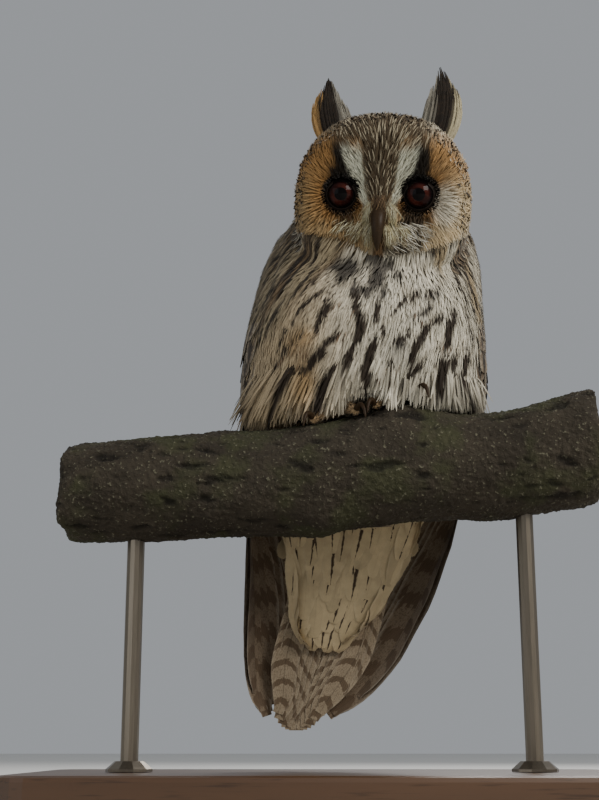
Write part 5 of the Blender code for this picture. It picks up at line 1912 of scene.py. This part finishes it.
def make_lid(side_name, side):
    """A fold of skin round one eye."""
    bm = bmesh.new()
    outline = [bm.verts.new((reach, depth, 0)) for reach, depth in LID_SECTION]
    edges = [bm.edges.new((first, second)) for first, second in zip(outline, outline[1:])]
    edges.append(bm.edges.new((outline[-1], outline[0])))
    bmesh.ops.spin(
        bm, geom=outline + edges, cent=(0, 0, 0), axis=(0, 1, 0), angle=2 * math.pi, steps=48,
        use_merge=True,
    )
    bmesh.ops.remove_doubles(bm, verts=bm.verts, dist=1e-4)
    bmesh.ops.recalc_face_normals(bm, faces=bm.faces)
    for vert in bm.verts:
        brow = max(0.0, (vert.co.z - 0.3 * side * vert.co.x) / 10)
        near = max(0.0, 1 - (math.hypot(vert.co.x, vert.co.z) - 8.2) / 2.6)
        vert.co.z -= 2.4 * brow * near
        vert.co.y -= 0.9 * brow * near
    place = Matrix.Translation((side * EYE_X, EYE_CENTRE_Y, EYE_Z))
    bmesh.ops.transform(bm, matrix=head_place @ place, verts=bm.verts)
    lid = object_from(bm, "eyelid_" + side_name)
    lid.data.shade_smooth()
    lid.data.materials.append(lid_material)
    soft = lid.modifiers.new("soft", "SUBSURF")
    soft.levels = 1
    soft.render_levels = 1
    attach(lid, "root")
    return lid


for side_name, side in (("right", -1), ("left", 1)):
    make_lid(side_name, side)
print("lids: 2")

# %% [markdown]
# ## Bill and claws
# Bill and claws are horn: dark, smooth along their length, with faint growth lines. The packed
# solids already have their curves, so copies are merged, subdivided until smooth, and swelled by
# the little that the smoothing takes away.

# %% Horn
horn_material, tree, shader = new_tree("dark_horn", 0.42)
lines = noise(tree, 500.0, 3.0, (1, 1, 4))
colour = blend(tree, lines, (0.015, 0.009, 0.005, 1.0), (0.048, 0.029, 0.014, 1.0))
tree.links.new(colour, shader.inputs["Base Color"])
bumped(tree, shader, lines, 0.25, 0.0002)
shader.inputs["Specular IOR Level"].default_value = 0.12


def smooth_copy(name, piece_name, levels, growth, material):
    """A rounder copy of a solid that replaces it."""
    bm = node_copy(name)
    bmesh.ops.join_triangles(
        bm, faces=bm.faces, angle_face_threshold=math.radians(60), angle_shape_threshold=math.radians(60)
    )
    bm.normal_update()
    for vert in bm.verts:
        vert.co += vert.normal * growth
    piece = object_from(bm, piece_name)
    rounder = piece.modifiers.new("rounder", "SUBSURF")
    rounder.levels = levels
    rounder.render_levels = levels
    piece.data.shade_smooth()
    piece.data.materials.append(material)
    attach(piece, "root")
    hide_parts(name)
    return piece


smooth_copy("bill_upper", "upper_bill_horn", 2, 0.15 * MM, horn_material)
smooth_copy("bill_lower", "lower_bill_horn", 2, 0.15 * MM, horn_material)
for name in nodes:
    if name.startswith("claw_"):
        smooth_copy(name, name + "_horn", 2, 0.35 * MM, horn_material)
print("claws: 8")

# %% [markdown]
# ## The perch
# The branch is old bark with moss and lichen on it. Its solid has the knob, the broken stub and the
# bends. A subdivided copy is pushed in and out by noise for the plates and the cracks of the bark,
# and the material adds painted shade in the cracks, the grey green growth and the pale flecks.

# %% Perch
bark_material, tree, shader = new_tree("mossy_bark", 0.95)
plates = noise(tree, 70.0, 6.0, (0.45, 1, 1))
fine = noise(tree, 520.0, 5.0)
moss = step_between(tree, noise(tree, 30.0, 5.0), 0.48, 0.62)
crack_shade = attribute(tree, "crack_shade")
colour = blend(tree, plates, (0.014, 0.011, 0.008, 1.0), (0.070, 0.057, 0.039, 1.0))
colour = blend(tree, calc(tree, "MULTIPLY", moss, 0.6), colour, (0.050, 0.055, 0.024, 1.0))
flecks = step_between(tree, fine, 0.60, 0.70)
colour = blend(tree, calc(tree, "MULTIPLY", flecks, 0.55), colour, (0.22, 0.21, 0.14, 1.0))
# The cracks are darkened almost to black: painted shade.
colour = blend(tree, crack_shade.outputs["Fac"], colour, (0.006, 0.005, 0.004, 1.0))
tree.links.new(colour, shader.inputs["Base Color"])
bumped(tree, shader, fine, 1.0, 0.0018)
shader.inputs["Specular IOR Level"].default_value = 0.25

perch_bm = node_copy("perch")
bmesh.ops.join_triangles(
    perch_bm, faces=perch_bm.faces, angle_face_threshold=math.radians(60),
    angle_shape_threshold=math.radians(60),
)
perch_rough = object_from(perch_bm, "perch_rough")
finer = perch_rough.modifiers.new("finer", "SUBSURF")
finer.levels = 4
finer.render_levels = 4
perch_mesh = bpy.data.meshes.new_from_object(
    perch_rough.evaluated_get(bpy.context.evaluated_depsgraph_get())
)
bpy.data.objects.remove(perch_rough)
perch_mesh.name = "perch_bark"
bark_count = len(perch_mesh.vertices)
bark_points = np.empty(bark_count * 3)
perch_mesh.vertices.foreach_get("co", bark_points)
bark_points = bark_points.reshape(-1, 3)
bark_normals = np.empty(bark_count * 3)
perch_mesh.vertices.foreach_get("normal", bark_normals)
bark_normals = bark_normals.reshape(-1, 3)
crack_shade_shares = np.zeros(bark_count)
swells = np.zeros(bark_count)
for index, (x, y, z) in enumerate(bark_points.tolist()):
    ridges = bark_noise.ridged_multi_fractal(Vector((x * 50, y * 130, z * 130)), 1.0, 2.1, 5, 1.0, 2.0)
    lumps = bark_noise.fractal(Vector((x, y, z)) * 45, 1.0, 2.0, 3)
    grain = bark_noise.fractal(Vector((x, y, z)) * 420, 0.8, 2.0, 4)
    crack = 0.0 if abs(x) > 0.1545 else min(1.0, max(0.0, 0.72 - ridges) * 1.7)
    swells[index] = 0.15 * grain if abs(x) > 0.1545 else 0.9 * lumps - 2.1 * crack + 0.9 * grain
    # How much painted shade each place in a crack gets.
    crack_shade_shares[index] = min(0.65, crack)
perch_mesh.vertices.foreach_set("co", (bark_points + bark_normals * swells[:, None] * MM).ravel())
crack_shade_layer = perch_mesh.attributes.new("crack_shade", "FLOAT", "POINT")
crack_shade_layer.data.foreach_set("value", crack_shade_shares)
perch = bpy.data.objects.new("perch_bark", perch_mesh)
bpy.context.scene.collection.objects.link(perch)
perch.data.materials.append(bark_material)
perch.data.shade_smooth()
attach(perch, "root")
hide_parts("perch")
print("bark triangles:", 2 * len(perch_mesh.polygons))

# %% [markdown]
# ## The stand
# The stand is the plain part of the model: a dark varnished board and two darkened brass rods. The
# solids are right as they are and only need their finish.

# %% Stand
wood_material, tree, shader = new_tree("base_board", 0.38)
rings = noise(tree, 30.0, 4.0, (0.12, 1, 1))
pores = noise(tree, 600.0, 2.0, (0.05, 1, 1))
colour = blend(tree, rings, (0.035, 0.017, 0.008, 1.0), (0.13, 0.066, 0.032, 1.0))
colour = blend(tree, calc(tree, "MULTIPLY", step_between(tree, pores, 0.55, 0.7), 0.5), colour, (0.02, 0.01, 0.005, 1.0))
tree.links.new(colour, shader.inputs["Base Color"])
bumped(tree, shader, pores, 0.15, 0.0003)
metal_material, tree, shader = new_tree("dark_rod", 0.3)
brushed = noise(tree, 900.0, 2.0, (1, 1, 0.05))
colour = blend(tree, brushed, (0.16, 0.135, 0.10, 1.0), (0.26, 0.22, 0.17, 1.0))
tree.links.new(colour, shader.inputs["Base Color"])
shader.inputs["Metallic"].default_value = 0.9
for name, thing in nodes.items():
    if name.startswith("stand_"):
        finish = wood_material if name == "stand_base" else metal_material
        thing.data.materials.clear()
        thing.data.materials.append(finish)
print("stand pieces:", sum(name.startswith("stand_") for name in nodes))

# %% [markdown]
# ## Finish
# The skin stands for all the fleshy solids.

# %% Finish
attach(skin, "root")
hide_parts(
    "head", "facial_disc", "neck", "trunk", "leg_left", "leg_right", "foot_left", "foot_right"
)
